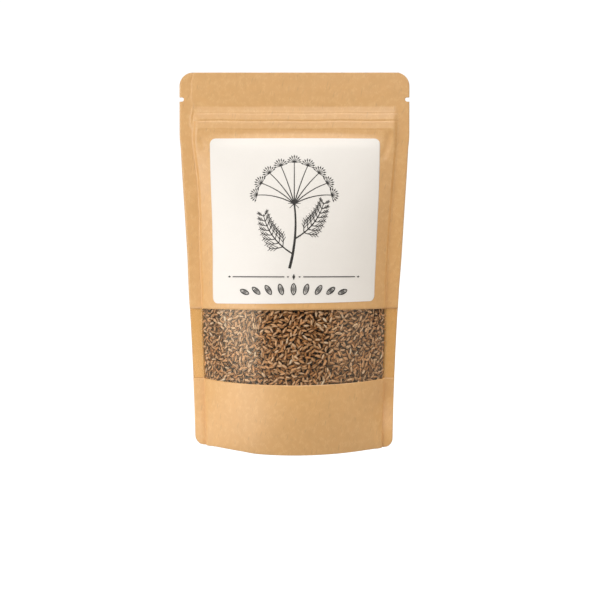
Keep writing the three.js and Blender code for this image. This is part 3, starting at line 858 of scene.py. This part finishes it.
def zip_strip(name, side, ribs, face_at):
    rows = np.array(spaced(ZIP_TAPE[0] + TAPE_INSET, ZIP_TAPE[1] - TAPE_INSET, TAPE_ROW_STEP))
    columns = np.array(spaced(-ZIP_HALF, ZIP_HALF, TAPE_COLUMN_STEP))
    across, up = np.meshgrid(columns, rows)
    outer = face_at(across, up) - PAPER - TAPE_GAP
    rib = sum(smooth(np.abs(up - ZIP_MIDDLE - at), RIB_HALF + RIB_FOOT, RIB_HALF) for at in ribs)
    inner = outer - TAPE - ZIP_REACH * rib
    return facing_out(fill(flat_sheet(name, across, up, outer, inner), side))


def object_place(tree):
    return from_node(tree, "ShaderNodeTexCoord", out="Object")


def zip_plastic():
    material, tree, surface = new_material("zip_plastic")
    drawn_out = {"Vector": object_place(tree), "Scale": STREAKS_PER_METRE}
    streaks = noise(tree, from_node(tree, "ShaderNodeMapping", drawn_out), 1)
    feed(tree, surface, {
        "Base Color": coloured(tree, streaks, (0.74, 0.71, 0.66), (0.86, 0.84, 0.80)),
        "Roughness": maths(tree, "MULTIPLY_ADD", streaks, 0.2, 0.22),
        "Subsurface Weight": 0.2,
        "Subsurface Scale": MM})
    return material


ZIP_PLASTIC = zip_plastic()
for name, node, side, ribs, face_at in (
        ("zip_tongue", "zip_tongue_strip", FRONT, (0,), front_face),
        ("zip_rails", "zip_rail_strip", BACK, (-RAIL_AT, RAIL_AT), back_face)):
    strip = zip_strip(name, side, ribs, face_at)
    dress(strip, ZIP_PLASTIC)
    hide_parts(node)
    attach(strip, "root")

# The seeds
# Dry dill seeds, flat spindles about 4 mm long with pale ribs, packed against the film in layers.
# Neighbours lie much the same way in small patches, and deeper layers are painted darker for the
# shade among them. Behind and above them a body of fill, painted dark for the shade deep in the
# bag, stands for the rest, which nobody sees one by one.

SEED_LENGTH = 3.8 * MM
SEED_WIDTH = 1.6 * MM
SEED_THICKNESS = 1.15 * MM
SEED_RINGS = (0.10, 0.32, 0.66, 0.90)
SEED_GIRTHS = (0.48, 0.93, 1.0, 0.48)
SEED_RIBS = (1.0, 0.90, 1.06, 1.06, 0.90)

# How far each kind of seed is bent, and its girth
SEED_KINDS = (("seed_straight", 0, 1), ("seed_curved", 0.16 * MM, 0.94), ("seed_slim", -0.1 * MM, 0.82),
              ("seed_plump", 0.04 * MM, 1.12))


def seed_shape(name, bend, girth):
    """One seed along x with its flat side up, curved by bend, as a closed spindle with ribs."""
    around = 2 * len(SEED_RIBS)
    rings = []
    for along, wide in zip(SEED_RINGS, SEED_GIRTHS):
        x = (along - 0.5) * SEED_LENGTH
        for k in range(around):
            turn = k / around * math.tau
            rib = SEED_RIBS[k % len(SEED_RIBS)] * wide * girth
            y = SEED_WIDTH / 2 * rib * math.cos(turn)
            rings.append((x, y, SEED_THICKNESS / 2 * rib * math.sin(turn)))
    ends = [(-SEED_LENGTH / 2, 0, 0), (SEED_LENGTH / 2, 0, 0)]
    vertices = [(x, y + bend * (1 - (2 * x / SEED_LENGTH) ** 2), z) for x, y, z in rings + ends]
    faces = []
    last = (len(SEED_RINGS) - 1) * around
    for k in range(around):
        following = (k + 1) % around
        for start in range(0, last, around):
            faces.append((start + k, start + following, start + around + following, start + around + k))
        faces.append((following, k, last + around))
        faces.append((last + k, last + following, last + around + 1))
    mesh = bpy.data.meshes.new(name)
    mesh.from_pydata(vertices, [], faces)
    mesh.shade_smooth()
    coat = mesh.uv_layers.new(name="coat")
    for face in mesh.polygons:
        turns = [0.5 + math.atan2(vertices[v][2], vertices[v][1] - bend) / math.tau for v in face.vertices]
        for loop, turn, v in zip(face.loop_indices, turns, face.vertices):
            wrapped = turn + 1 if max(turns) - turn > 0.5 else turn
            tip = v >= len(rings)
            coat.data[loop].uv = (0.5 if tip else wrapped, vertices[v][0] / SEED_LENGTH + 0.5)
    return bpy.data.objects.new(name, mesh)


# The coat's colours by tone, from the darkest seed to the lightest
SEED_TONES = ((0.0, (0.36, 0.145, 0.040)), (0.3, (0.58, 0.295, 0.120)), (0.62, (0.75, 0.435, 0.222)),
              (0.86, (0.88, 0.585, 0.35)), (0.96, (0.93, 0.69, 0.46)), (1.0, (0.97, 0.82, 0.60)))
RIBS_ROUND = 10
SPECKS_PER_METRE = 1900


def seed_coat():
    material, tree, surface = new_material("dill_seed")

    def stored(name):
        return from_node(tree, "ShaderNodeAttribute", out="Fac", attribute_name=name)

    def shaded(light, mask, gain, least):
        return maths(tree, "MULTIPLY", light, maths(tree, "MULTIPLY_ADD", mask, gain, least))

    tones = tree.nodes.new("ShaderNodeValToRGB")
    while len(tones.color_ramp.elements) < len(SEED_TONES):
        tones.color_ramp.elements.new(0.5)
    for element, (position, colour) in zip(tones.color_ramp.elements, SEED_TONES):
        element.position = position
        element.color = (*colour, 1)
    feed(tree, tones, (stored("tone"),))

    # Ribs run along the coat. Its edges, where the two faces meet, are the darkest and its ends are dark too:
    # painted shade, under which the colour turns to a deep brown
    specks = noise(tree, object_place(tree), SPECKS_PER_METRE, 3)
    round_it, along_it, _ = separated(tree, laid_out(tree, "coat"))
    ribs = maths(tree, "COSINE", maths(tree, "MULTIPLY", round_it, math.tau * RIBS_ROUND))
    ribs = ramp(tree, ribs, 0.1, 0.95)
    # Painted shade along the edges, where the two faces meet
    painted_edge_shade = maths(tree, "ABSOLUTE", maths(tree, "SINE", maths(tree, "MULTIPLY", round_it, math.tau)))
    painted_edge_shade = ramp(tree, painted_edge_shade, 0.1, 0.76)
    # Painted shade at both ends of the seed
    tip = ramp(tree, maths(tree, "ABSOLUTE", maths(tree, "SUBTRACT", along_it, 0.5)), 0.3, 0.5)
    light = shaded(painted_edge_shade, specks, 0.5, 0.75)
    light = shaded(light, ribs, 0.34, 0.82)
    light = shaded(light, tip, -0.85, 1)
    hue = coloured(tree, stored("hue"), (1.12, 0.99, 0.86), (1.0, 1.06, 1.16))
    # Painted shade: where the coat is marked dark, its colour turns to a deep brown
    tint = coloured(tree, light, (0.07, 0.028, 0.006), hue)
    feed(tree, surface, {
        "Base Color": from_node(tree, "ShaderNodeVectorMath", (tones.outputs[0], tint), operation="MULTIPLY"),
        "Roughness": 0.5,
        "Specular IOR Level": 0.5,
        "Specular Tint": (1.0, 0.72, 0.42, 1),
        "Normal": bump(tree, maths(tree, "ADD", ribs, specks), 0.6, 0.06 * MM)})
    return material


SEED_COAT = seed_coat()
SEED_SHAPES = bpy.data.collections.new("seed_shapes")
for name, bend, girth in SEED_KINDS:
    SEED_SHAPES.objects.link(seed_shape(name, bend, girth))


MOST_PER_SQUARE_METRE = 900000


def random_value(tree, low, high, start):
    return from_node(tree, "FunctionNodeRandomValue", {2: low, 3: high, "Seed": start}, 1)


def scattered_seeds():
    sizes = {"Bed": "Geometry", "Spacing": 2.0 * MM, "Tilt": 0.3, "Turn": 1.1, "Roll": 0.5,
             "Patch": 60.0, "Patch Turn": 7.0, "Smallest": 0.78, "Largest": 1.12,
             "Unevenness": 0.2 * MM, "Darkest": 0.0, "Lightest": 1.0, "Draw": 1,
             "Shapes": "Collection", "Coat": "Material"}
    tree, given, seeds = new_group("scattered_seeds", "GeometryNodeTree", sizes, {"Seeds": "Geometry"})

    def up_to(size, start):
        """A random value from the size downwards, to as much below nought."""
        return maths(tree, "MULTIPLY", given[size], random_value(tree, -1, 1, start))

    def in_range(low, high, start):
        return between(tree, given[low], given[high], random_value(tree, 0, 1, start))

    points = tree.nodes.new("GeometryNodeDistributePointsOnFaces")
    points.distribute_method = "POISSON"
    feed(tree, points, {"Mesh": given["Bed"], "Distance Min": given["Spacing"],
                        "Density Max": MOST_PER_SQUARE_METRE, "Seed": given["Draw"]})

    # Neighbours lie the same way, give or take a random turn
    patch = noise(tree, from_node(tree, "GeometryNodeInputPosition"), given["Patch"], 1)
    turn = maths(tree, "MULTIPLY_ADD", patch, given["Patch Turn"], up_to("Turn", 3))
    lying = combined(tree, up_to("Roll", 7), up_to("Tilt", 5), turn)
    turned = (points.outputs["Rotation"], lying)
    turned = from_node(tree, "FunctionNodeRotateRotation", turned, rotation_space="LOCAL")

    # Each lies a little deeper or shallower than the next
    deeper = {0: points.outputs["Normal"], "Scale": up_to("Unevenness", 15)}
    deeper = from_node(tree, "ShaderNodeVectorMath", deeper, operation="SCALE")
    moved = {"Geometry": points.outputs["Points"], "Offset": deeper}
    moved = from_node(tree, "GeometryNodeSetPosition", moved)
    shapes = {"Collection": given["Shapes"], "Separate Children": True}
    seed = from_node(tree, "GeometryNodeInstanceOnPoints", {
        "Points": moved,
        "Instance": from_node(tree, "GeometryNodeCollectionInfo", shapes),
        "Pick Instance": True,
        "Rotation": turned,
        "Scale": in_range("Smallest", "Largest", 9)})
    # Each seed's tone is random between its layer's darkest and lightest, which carry painted shade in the
    # deeper layers
    for name, value in (("tone", in_range("Darkest", "Lightest", 11)), ("hue", random_value(tree, 0, 1, 13))):
        seed = from_node(tree, "GeometryNodeStoreNamedAttribute",
                         {"Geometry": seed, "Name": name, "Value": value},
                         domain="INSTANCE", data_type="FLOAT")
    real = from_node(tree, "GeometryNodeRealizeInstances", (seed,))
    dressed = {"Geometry": real, "Material": given["Coat"]}
    feed(tree, seeds, (from_node(tree, "GeometryNodeSetMaterial", dressed),))
    return tree


SCATTERED_SEEDS = scattered_seeds()
SEEDS_WITHIN = 1.5 * MM
SEEDS_LOW = WINDOW_LOW - 3 * MM
SEEDS_HIGH = WINDOW_HIGH + 3 * MM

# The layers, from the film inwards: how far out each lies, how far apart its seeds are, how much
# they tilt, and the tones of its darkest and its lightest. The deeper layers' tones are kept darker as
# painted shade.
LAYERS = ((-0.65 * MM, 2.4 * MM, 0.25, 0.35, 1.0), (-1.2 * MM, 2.05 * MM, 0.35, 0.1, 0.9),
          (-1.8 * MM, 1.95 * MM, 0.4, 0.0, 0.35), (-2.5 * MM, 2.1 * MM, 0.45, 0.0, 0.2))
FIRST_DRAW = 10


def bed_edge(share, v):
    """Where a bed of seeds ends: at the left fold for -1, the panel's middle for 0, the right for 1."""
    middle, half = panel(v)
    return middle + share * (half - SEEDS_WITHIN)


def window_seeds(name, start, end):
    layers = []
    corners = ((start, SEEDS_LOW), (end, SEEDS_LOW), (end, SEEDS_HIGH), (start, SEEDS_HIGH))
    for number, (out, spacing, tilt, darkest, lightest) in enumerate(LAYERS):
        bed = [(bed_edge(share, v), out, v) for share, v in corners]
        layer = new_piece(f"{name}_layer", bed, [(0, 1, 2, 3)], smooth=False)
        with_tree(layer, SCATTERED_SEEDS, {"Spacing": spacing, "Tilt": tilt, "Draw": FIRST_DRAW + number,
                                           "Darkest": darkest, "Lightest": lightest,
                                           "Shapes": SEED_SHAPES, "Coat": SEED_COAT})
        with_tree(layer, FILLED_BAG, {"Side": float(FRONT)})
        layers.append(made_real(layer))
    joined = layers[0]
    with bpy.context.temp_override(active_object=joined, selected_editable_objects=layers):
        bpy.ops.object.join()
    joined.name = name
    joined.data.name = name
    return joined


for name, start, end in (("window_seeds_left", -1, 0), ("window_seeds_right", 0, 1)):
    seeds = window_seeds(name, start, end)
    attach(seeds, "root")

# The body of fill, painted dark for the shade deep in the bag, from the gusset to its heaped top
FILL_OUT = -3.2 * MM
FILL_FOOT = 0.8 * MM
FILL_TOP = 146 * MM
FILL_CLEAR = 1.2 * MM
FILL_STEP = 3 * MM
LEAST_DEPTH = 4 * MM
HEAP = 3 * MM
FILL_SIDE_POINTS = 48
CAP_STEPS = 10
CELLS_PER_METRE = 420


def fill_place(v, side, share):
    """A point round the body at height v: share runs from -1 to 1 across one side."""
    angle = wall_angle(v)
    radius = HALF_PANEL / angle + FILL_OUT
    to_centre = HALF_PANEL / angle * math.cos(angle)
    turn = share * math.acos(min(1, to_centre / radius))
    x = radius * math.sin(turn)
    y = side * (radius * math.cos(turn) - to_centre)
    depth = max(LEAST_DEPTH, wall_depth(x, gusset_seal(x), GUSSET_OUT))
    z = max(v, gusset_floor(x, y / depth) + FILL_CLEAR)
    return (x + FOLD_SHIFTS[0], y + BACKWARD_LEAN * (z / HEIGHT) ** 2, z)


def closing(ring, height_at):
    """Smaller and smaller loops from a ring towards its middle, each point at its own height."""
    sizes = [1 - k / CAP_STEPS for k in range(1, CAP_STEPS)]
    return [[(x * size, y * size, height_at(x, z, size)) for x, y, z in ring] for size in sizes]


def on_gusset(x, z, size):
    return max(z, gusset_floor(x * size, 0) + FILL_CLEAR)


def on_heap(x, z, size):
    return z + HEAP * (1 - size**2)


levels = spaced(FILL_FOOT, FILL_TOP, FILL_STEP)
shares = [2 * k / FILL_SIDE_POINTS - 1 for k in range(FILL_SIDE_POINTS)]
turns = [(FRONT, share) for share in shares] + [(BACK, -share) for share in shares]
rings = [[fill_place(v, side, share) for side, share in turns] for v in levels]
around = len(turns)
loops = closing(rings[0], on_gusset)[::-1] + rings + closing(rings[-1], on_heap)
vertices = [point for loop in loops for point in loop]
faces = []
for start in range(0, around * (len(loops) - 1), around):
    for k in range(around):
        following = (k + 1) % around
        faces.append((start + k, start + following, start + around + following, start + around + k))
for loop, step in ((0, -1), (len(loops) - 1, 1)):
    vertices.append(tuple(np.mean(loops[loop], axis=0)))
    for k in range(around):
        pair = (loop * around + k, loop * around + (k + 1) % around)
        faces.append((len(vertices) - 1, *pair[::step]))
fill_body = new_piece("seed_fill", vertices, faces)
with_tree(fill_body, PRESSED_FOOT, {})
facing_out(made_real(fill_body))


def deep_seeds():
    material, tree, surface = new_material("deep_seeds")
    cells = {"Vector": object_place(tree), "Scale": CELLS_PER_METRE}
    away = from_node(tree, "ShaderNodeTexVoronoi", cells, "Distance")
    # Painted shade: dark brown cells, darker still towards their edges, stand for seeds deep in the bag's
    # shade
    painted_gap_shade = ramp(tree, away, 0.1, 0.75)
    feed(tree, surface, {
        "Base Color": coloured(tree, painted_gap_shade, (0.12, 0.055, 0.018), (0.02, 0.008, 0.002)),
        "Roughness": 0.8,
        "Normal": bump(tree, away, 1.0, -0.5 * MM)})
    return material


dress(fill_body, deep_seeds())
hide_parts("seeds")
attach(fill_body, "root")

# The label
# A white coated paper sticker with round corners, stuck on the upper front wall, whose swells it
# follows. It is a little askew: its foot climbs to the right, and its top reaches further there.

LABEL_HALF = 47.25 * MM
LABEL_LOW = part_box("label")[0].z
LABEL_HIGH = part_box("label")[1].z
LABEL_CORNER = 3.2 * MM
LABEL_CORNER_STEPS = 8
LABEL = 0.16 * MM
GLUE = 0.03 * MM
LABEL_STEP = 1.25 * MM
LABEL_CLIMB = 0.68 * MM
LABEL_DROP = 0.12 * MM
LABEL_REACH = 0.6 * MM


def label_face(u, v):
    return front_face(u, v) + GLUE + LABEL


def label_sheet():
    bends = quarter(LABEL_CORNER, LABEL_CORNER_STEPS)
    plain = spaced(LABEL_LOW + LABEL_CORNER + MM, LABEL_HIGH - LABEL_CORNER - MM, LABEL_STEP)
    rows = [LABEL_LOW + rise for rise in bends] + plain + [LABEL_HIGH - rise for rise in reversed(bends)]
    inner = spaced(-LABEL_HALF + LABEL_CORNER, LABEL_HALF - LABEL_CORNER, LABEL_STEP)
    ends = [LABEL_HALF - LABEL_CORNER * share for share in (0.8, 0.6, 0.4, 0.2, 0)]
    columns = np.array([-u for u in reversed(ends)] + inner + ends)
    across = []
    for v in rows:
        from_edge = min(v - LABEL_LOW, LABEL_HIGH - v, LABEL_CORNER)
        squeeze = math.sqrt(max(0, LABEL_CORNER**2 - (LABEL_CORNER - from_edge) ** 2)) / LABEL_CORNER
        beyond = np.maximum(0, np.abs(columns) - (LABEL_HALF - LABEL_CORNER))
        across.append(columns - np.sign(columns) * beyond * (1 - squeeze))
    across = np.array(across)
    up = np.repeat(np.array(rows)[:, None], len(columns), axis=1)
    height = (up - LABEL_LOW) / (LABEL_HIGH - LABEL_LOW)
    sideways = across / LABEL_HALF
    up = up + (LABEL_CLIMB * sideways - LABEL_DROP) * (1 - height)
    across = across + LABEL_REACH * np.maximum(0, sideways) * height
    outer = label_face(across, up)
    return facing_out(fill(flat_sheet("label_sticker", across, up, outer, outer - LABEL), FRONT))


def label_paper():
    material, tree, surface = new_material("label_paper")
    fibres = fibres_in(tree, per_metre=1500, stretch=3, clouds=90)
    colour = coloured(tree, fibres["Cloud"], (0.870, 0.820, 0.755), (0.900, 0.850, 0.785))
    strands = maths(tree, "MULTIPLY", fibres["Strands"], 0.12)
    feed(tree, surface, {
        "Base Color": coloured(tree, strands, colour, (0.82, 0.77, 0.70)),
        "Roughness": maths(tree, "MULTIPLY_ADD", fibres["Cloud"], 0.1, 0.42),
        "Specular IOR Level": 0.4,
        "Normal": bump(tree, fibres["Height"], 0.12, 0.02 * MM)})
    return material


label = label_sheet()
dress(label, label_paper())
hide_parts("label")
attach(label, "root")

# The drawing on the label
# Black ink: a dill umbel in seed on its stalk, between two feathery leaves, and below it a rule
# over a fan of seeds. Each line is a thin raised ribbon of ink on the label.

LABEL_MIDDLE = (LABEL_LOW + LABEL_HIGH) / 2
INK = 0.03 * MM
INK_STEP = 0.0002 * MM
SPOTS_PER_METRE = 2500
PEN_STEP = 1.2
strokes = []


def curve(start, bend, end, steps=14):
    """Points along a line from start to end, pulled towards bend."""
    shares = np.linspace(0, 1, steps)[:, None]
    start, bend, end = (np.array(point, dtype=float) for point in (start, bend, end))
    return (1 - shares) ** 2 * start + 2 * shares * (1 - shares) * bend + shares**2 * end


def pen(points, first, last=None):
    """One pen line along points in millimetres from the label's middle, from one width to another,
    with points close enough together to follow the label's curve."""
    points = np.array(points, dtype=float)
    whole = [points[0]]
    for start, end in zip(points[:-1], points[1:]):
        steps = max(1, math.ceil(math.dist(start, end) / PEN_STEP))
        whole += [start + (end - start) * k / steps for k in range(1, steps + 1)]
    strokes.append((np.array(whole), first, first if last is None else last))


def outline(centre, long, wide, turn, width):
    """A closed pen line round a small pointed oval."""
    turns = np.linspace(0, math.tau, 21)
    across, along = wide * np.sin(turns) * np.abs(np.sin(turns)) ** 0.35, long * np.cos(turns)
    points = np.stack([across * math.cos(turn) + along * math.sin(turn),
                       along * math.cos(turn) - across * math.sin(turn)], axis=1)
    pen(points + centre, width)


def towards(point, turn, distance):
    """The point at a distance along a direction that leans from straight up to the right by turn."""
    return (point[0] + distance * math.sin(turn), point[1] + distance * math.cos(turn))


def blot(centre, long, wide, turn):
    """A small solid pointed oval, as one short pen line that swells and thins again."""
    for end in (-long, long):
        pen([centre, towards(centre, turn, 0.45 * end), towards(centre, turn, end)], 2 * wide, 0.12)


def umbel(hub, rays, spread, reach):
    """Rays from the hub, each with a fan of nine stems that end in a seed, and bracts below."""
    for k in range(rays):
        turn = spread * (2 * k / (rays - 1) - 1)
        length = reach * (1 - 0.10 * abs(math.sin(turn)))
        tip = towards(hub, turn, length)
        pen(curve(hub, towards(hub, 0.80 * turn, 0.55 * length), tip), 0.62, 0.42)
        for j in range(9):
            fan = turn + math.radians(84) * (j / 4 - 1)
            stem = 2.7 - 0.3 * abs(j / 4 - 1)
            end = towards(tip, fan, stem)
            pen([tip, end], 0.34, 0.26)
            blot(towards(end, fan, 0.75), 0.95, 0.40, fan)
    for k in range(-2, 3):
        turn = math.pi + 0.62 * k
        pen(curve(hub, towards(hub, turn + 0.3 * k, 1.8), towards(hub, turn + 0.2 * k, 3.4)), 0.5, 0.2)


def feather(root, turn, side, length):
    """A dill leaf: a curved rib with pairs of side ribs, each split into fine threads."""
    bend = towards(root, turn, 0.6 * length)
    end = towards(bend, turn + side * 0.8, 0.55 * length)
    spine = curve(root, bend, end, 29)
    pen(spine, 0.75, 0.35)
    for k in range(6, 29, 3):
        heading = math.atan2(*(spine[k] - spine[k - 1]))
        long = length * (0.34 - 0.20 * k / 28)
        for hand in (-1, 1):
            lean = heading + hand * 0.80
            tip = towards(spine[k], lean, long)
            pen(curve(spine[k], towards(spine[k], lean + hand * 0.25, 0.55 * long), tip, 8), 0.46, 0.32)
            for share in (0.35, 0.62, 0.86):
                knot = towards(spine[k], lean + hand * 0.12 * (1 - share), share * long)
                for fork in (-1, 1):
                    pen([knot, towards(knot, lean + fork * 0.55, (0.5 - 0.22 * share) * long)], 0.36, 0.24)


def drawn_seed(centre, turn, long):
    """A seed in outline, with three ribs along it."""
    outline(centre, long, 0.44 * long, turn, 0.5)
    for lane in (-0.22, 0.0, 0.22):
        side = (centre[0] + lane * long * math.cos(turn), centre[1] - lane * long * math.sin(turn))
        reach = (0.76 - 1.3 * abs(lane)) * long
        for end in (-1, 1):
            pen([side, towards(side, turn, end * reach)], 0.42, 0.2)


HUB = (0, 8)
pen(curve((-2.4, -27), (2.2, -8), HUB, 24), 1.5, 0.85)
umbel(HUB, rays=9, spread=math.radians(76), reach=23)
feather((-1.1, -19), turn=math.radians(-58), side=1, length=25)
feather((0.3, -11), turn=math.radians(60), side=-1, length=24)
RULE = -31.5
for side in (-1, 1):
    pen([(side * 5, RULE), (side * 34, RULE)], 0.5)
    blot((side * 36, RULE), 0.8, 0.5, math.pi / 2)
    blot((side * 3.1, RULE), 0.6, 0.4, math.pi / 2)
blot((0, RULE), 1.5, 0.8, 0)
for k in range(-4, 5):
    drawn_seed((k * 6.7, RULE - 6.6 - 0.10 * k * k), math.radians(17 * k), 3.0 - 0.08 * abs(k))


def ribbon(points, first, last, lift):
    """The vertices and faces of one closed ribbon: its top and its foot, with sides and ends."""
    along = np.gradient(points, axis=0)
    along /= np.linalg.norm(along, axis=1)[:, None]
    side = np.stack([along[:, 1], -along[:, 0]], axis=1)
    widths = np.linspace(first, last, len(points))[:, None]
    if np.allclose(points[0], points[-1]):
        side[0] = side[-1] = (side[0] + side[-1]) / 2
    edges = [(points + hand * side * widths / 2) * MM for hand in (-1, 1)]
    vertices = []
    for height in (lift, 0.0):
        for edge in edges:
            u, v = edge[:, 0], LABEL_MIDDLE + edge[:, 1]
            vertices.append(np.stack([u, label_face(u, v) + height, v], axis=1))
    count = len(points)
    lanes = [(0, 1), (1, 3), (3, 2), (2, 0)]
    faces = [(a * count + k, a * count + k + 1, b * count + k + 1, b * count + k)
             for a, b in lanes for k in range(count - 1)]
    faces.append((0, count, 3 * count, 2 * count))
    faces.append(tuple(reversed((count - 1, 2 * count - 1, 4 * count - 1, 3 * count - 1))))
    return np.concatenate(vertices), faces


def ink():
    material, tree, surface = new_material("black_ink")
    spots = noise(tree, object_place(tree), SPOTS_PER_METRE)
    colour = coloured(tree, spots, (0.010, 0.008, 0.007), (0.040, 0.034, 0.028))
    feed(tree, surface, {"Base Color": colour, "Roughness": 0.5})
    return material


# Each line lies a hair above the one before, so that no two tops share a plane
ink_vertices = []
ink_faces = []
first_vertex = 0
for number, (points, first, last) in enumerate(strokes):
    vertices, faces = ribbon(points, first, last, INK + INK_STEP * number)
    ink_vertices.append(vertices)
    ink_faces += [tuple(corner + first_vertex for corner in face) for face in faces]
    first_vertex += len(vertices)
drawing = new_piece("label_drawing", np.concatenate(ink_vertices), ink_faces, smooth=False)
facing_out(fill(drawing, FRONT))
dress(drawing, ink())
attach(drawing, "root")

# The table and the light
# A glowing white table that meets a white surround, as in a product studio. The key light is a
# wide softbox that stands at the left, with weaker ones at both sides and high in front.

FLOOR = 6.0
TABLE_SEEN = 1.0
TABLE_GLOW = 0.38
TABLE_GLOW_LEFT = 1.05
TABLE_GLOW_RIGHT = 0.34

# Where the table glows beside the pouch: how far along it from the middle, and how far across,
# each place given where the glow starts and where it's full
GLOW_MIDDLE = 0.13
GLOW_ALONG = (0.16, 0.08)
GLOW_LEFT = ((-0.02, -0.06), (-0.32, -0.18))
GLOW_RIGHT = ((0.04, 0.09), (0.32, 0.18))
corners = [(-FLOOR, -FLOOR, 0), (FLOOR, -FLOOR, 0), (FLOOR, FLOOR, 0), (-FLOOR, FLOOR, 0)]
floor = new_piece("floor", corners, [(0, 1, 2, 3)], smooth=False)


def pale_floor():
    material, tree, surface = new_material("pale_floor")
    place = object_place(tree)
    across, forward, _ = separated(tree, place)
    along = maths(tree, "ABSOLUTE", maths(tree, "ADD", forward, GLOW_MIDDLE))
    seen = from_node(tree, "ShaderNodeLightPath", out="Is Camera Ray")

    def beside(near, far):
        """1 on a stretch of table at one side of the pouch, and 0 elsewhere."""
        share = maths(tree, "MULTIPLY", ramp(tree, across, *near), ramp(tree, along, *GLOW_ALONG))
        return maths(tree, "MULTIPLY", share, ramp(tree, across, *far))

    # Brightest beside the pouch on the left, where the softbox stands, and warmer at the right
    left = beside(*GLOW_LEFT)
    right = beside(*GLOW_RIGHT)
    glow = maths(tree, "MULTIPLY_ADD", left, TABLE_GLOW_LEFT, TABLE_GLOW)
    glow = maths(tree, "MULTIPLY_ADD", right, TABLE_GLOW_RIGHT, glow)
    warmth = maths(tree, "MULTIPLY", right, maths(tree, "SUBTRACT", 1, seen))
    feed(tree, surface, {
        "Base Color": coloured(tree, noise(tree, place, 3), (0.15, 0.15, 0.15), (0.17, 0.17, 0.17)),
        "Roughness": 0.9,
        "Specular IOR Level": 0.1,
        "Emission Color": coloured(tree, warmth, (1.0, 1.0, 1.0), (1.0, 0.82, 0.60)),
        "Emission Strength": between(tree, glow, TABLE_SEEN, seen)})
    below = from_node(tree, "ShaderNodeNewGeometry", out="Backfacing")
    through = from_node(tree, "ShaderNodeBsdfTransparent")
    mixed = from_node(tree, "ShaderNodeMixShader", (below, surface.outputs[0], through))
    feed(tree, tree.nodes["Material Output"], {"Surface": mixed})
    return material


dress(floor, pale_floor())


# A standing softbox's distance and height, the height above which one is turned down to the
# pouch, and the height on the pouch that it's turned to
STAND = (0.80, 0.26)
STAND_TOP = 0.3
AIM = 0.1


def soft_light(name, azimuth, place, size, radiance):
    """An area light at an azimuth in degrees, at a distance and a height. A standing one faces
    the pouch level, and a higher one is tipped down to its middle."""
    data = bpy.data.lights.new(name, "AREA")
    data.shape = "RECTANGLE"
    data.size, data.size_y = size
    data.energy = radiance * math.pi * size[0] * size[1]
    light = bpy.data.objects.new(name, data)
    turn = math.radians(azimuth)
    distance, height = place
    light.location = (distance * math.sin(turn), -distance * math.cos(turn), height)
    aim = Vector((0, 0, height if height < STAND_TOP else AIM)) - light.location
    light.rotation_euler = aim.to_track_quat("-Z", "Y").to_euler()
    bpy.context.scene.collection.objects.link(light)


soft_light("left_softbox", -54, STAND, (0.56, 0.50), 2.6)
soft_light("side_softbox", -90, STAND, (0.14, 0.50), 0.76)
soft_light("right_softbox", 57, STAND, (0.56, 0.50), 0.66)
soft_light("front_softbox", 14, (0.69, 0.68), (0.50, 0.30), 1.8)
soft_light("high_softbox", 10, (0.42, 0.89), (0.36, 0.30), 0.7)

SURROUND_BEHIND = 0.265
SURROUND_ABOVE = 1.9
SURROUND_SEEN = 1.05
world = bpy.data.worlds.new("white_surround")
world.use_nodes = True
bpy.context.scene.world = world
sky = world.node_tree
_, along, up = separated(sky, from_node(sky, "ShaderNodeTexCoord", out="Generated"))
behind = maths(sky, "MULTIPLY", ramp(sky, along, -0.15, 0.25), SURROUND_BEHIND)
above = maths(sky, "MULTIPLY", ramp(sky, up, 0.3, 0.9), ramp(sky, along, 0.3, -0.1))
above = maths(sky, "MULTIPLY", above, SURROUND_ABOVE)
seen = from_node(sky, "ShaderNodeLightPath", out="Is Camera Ray")
strength = between(sky, maths(sky, "ADD", behind, above), SURROUND_SEEN, seen)
feed(sky, sky.nodes["Background"], {"Strength": strength, "Color": (1, 1, 1, 1)})
bpy.context.scene.view_settings.view_transform = "Standard"
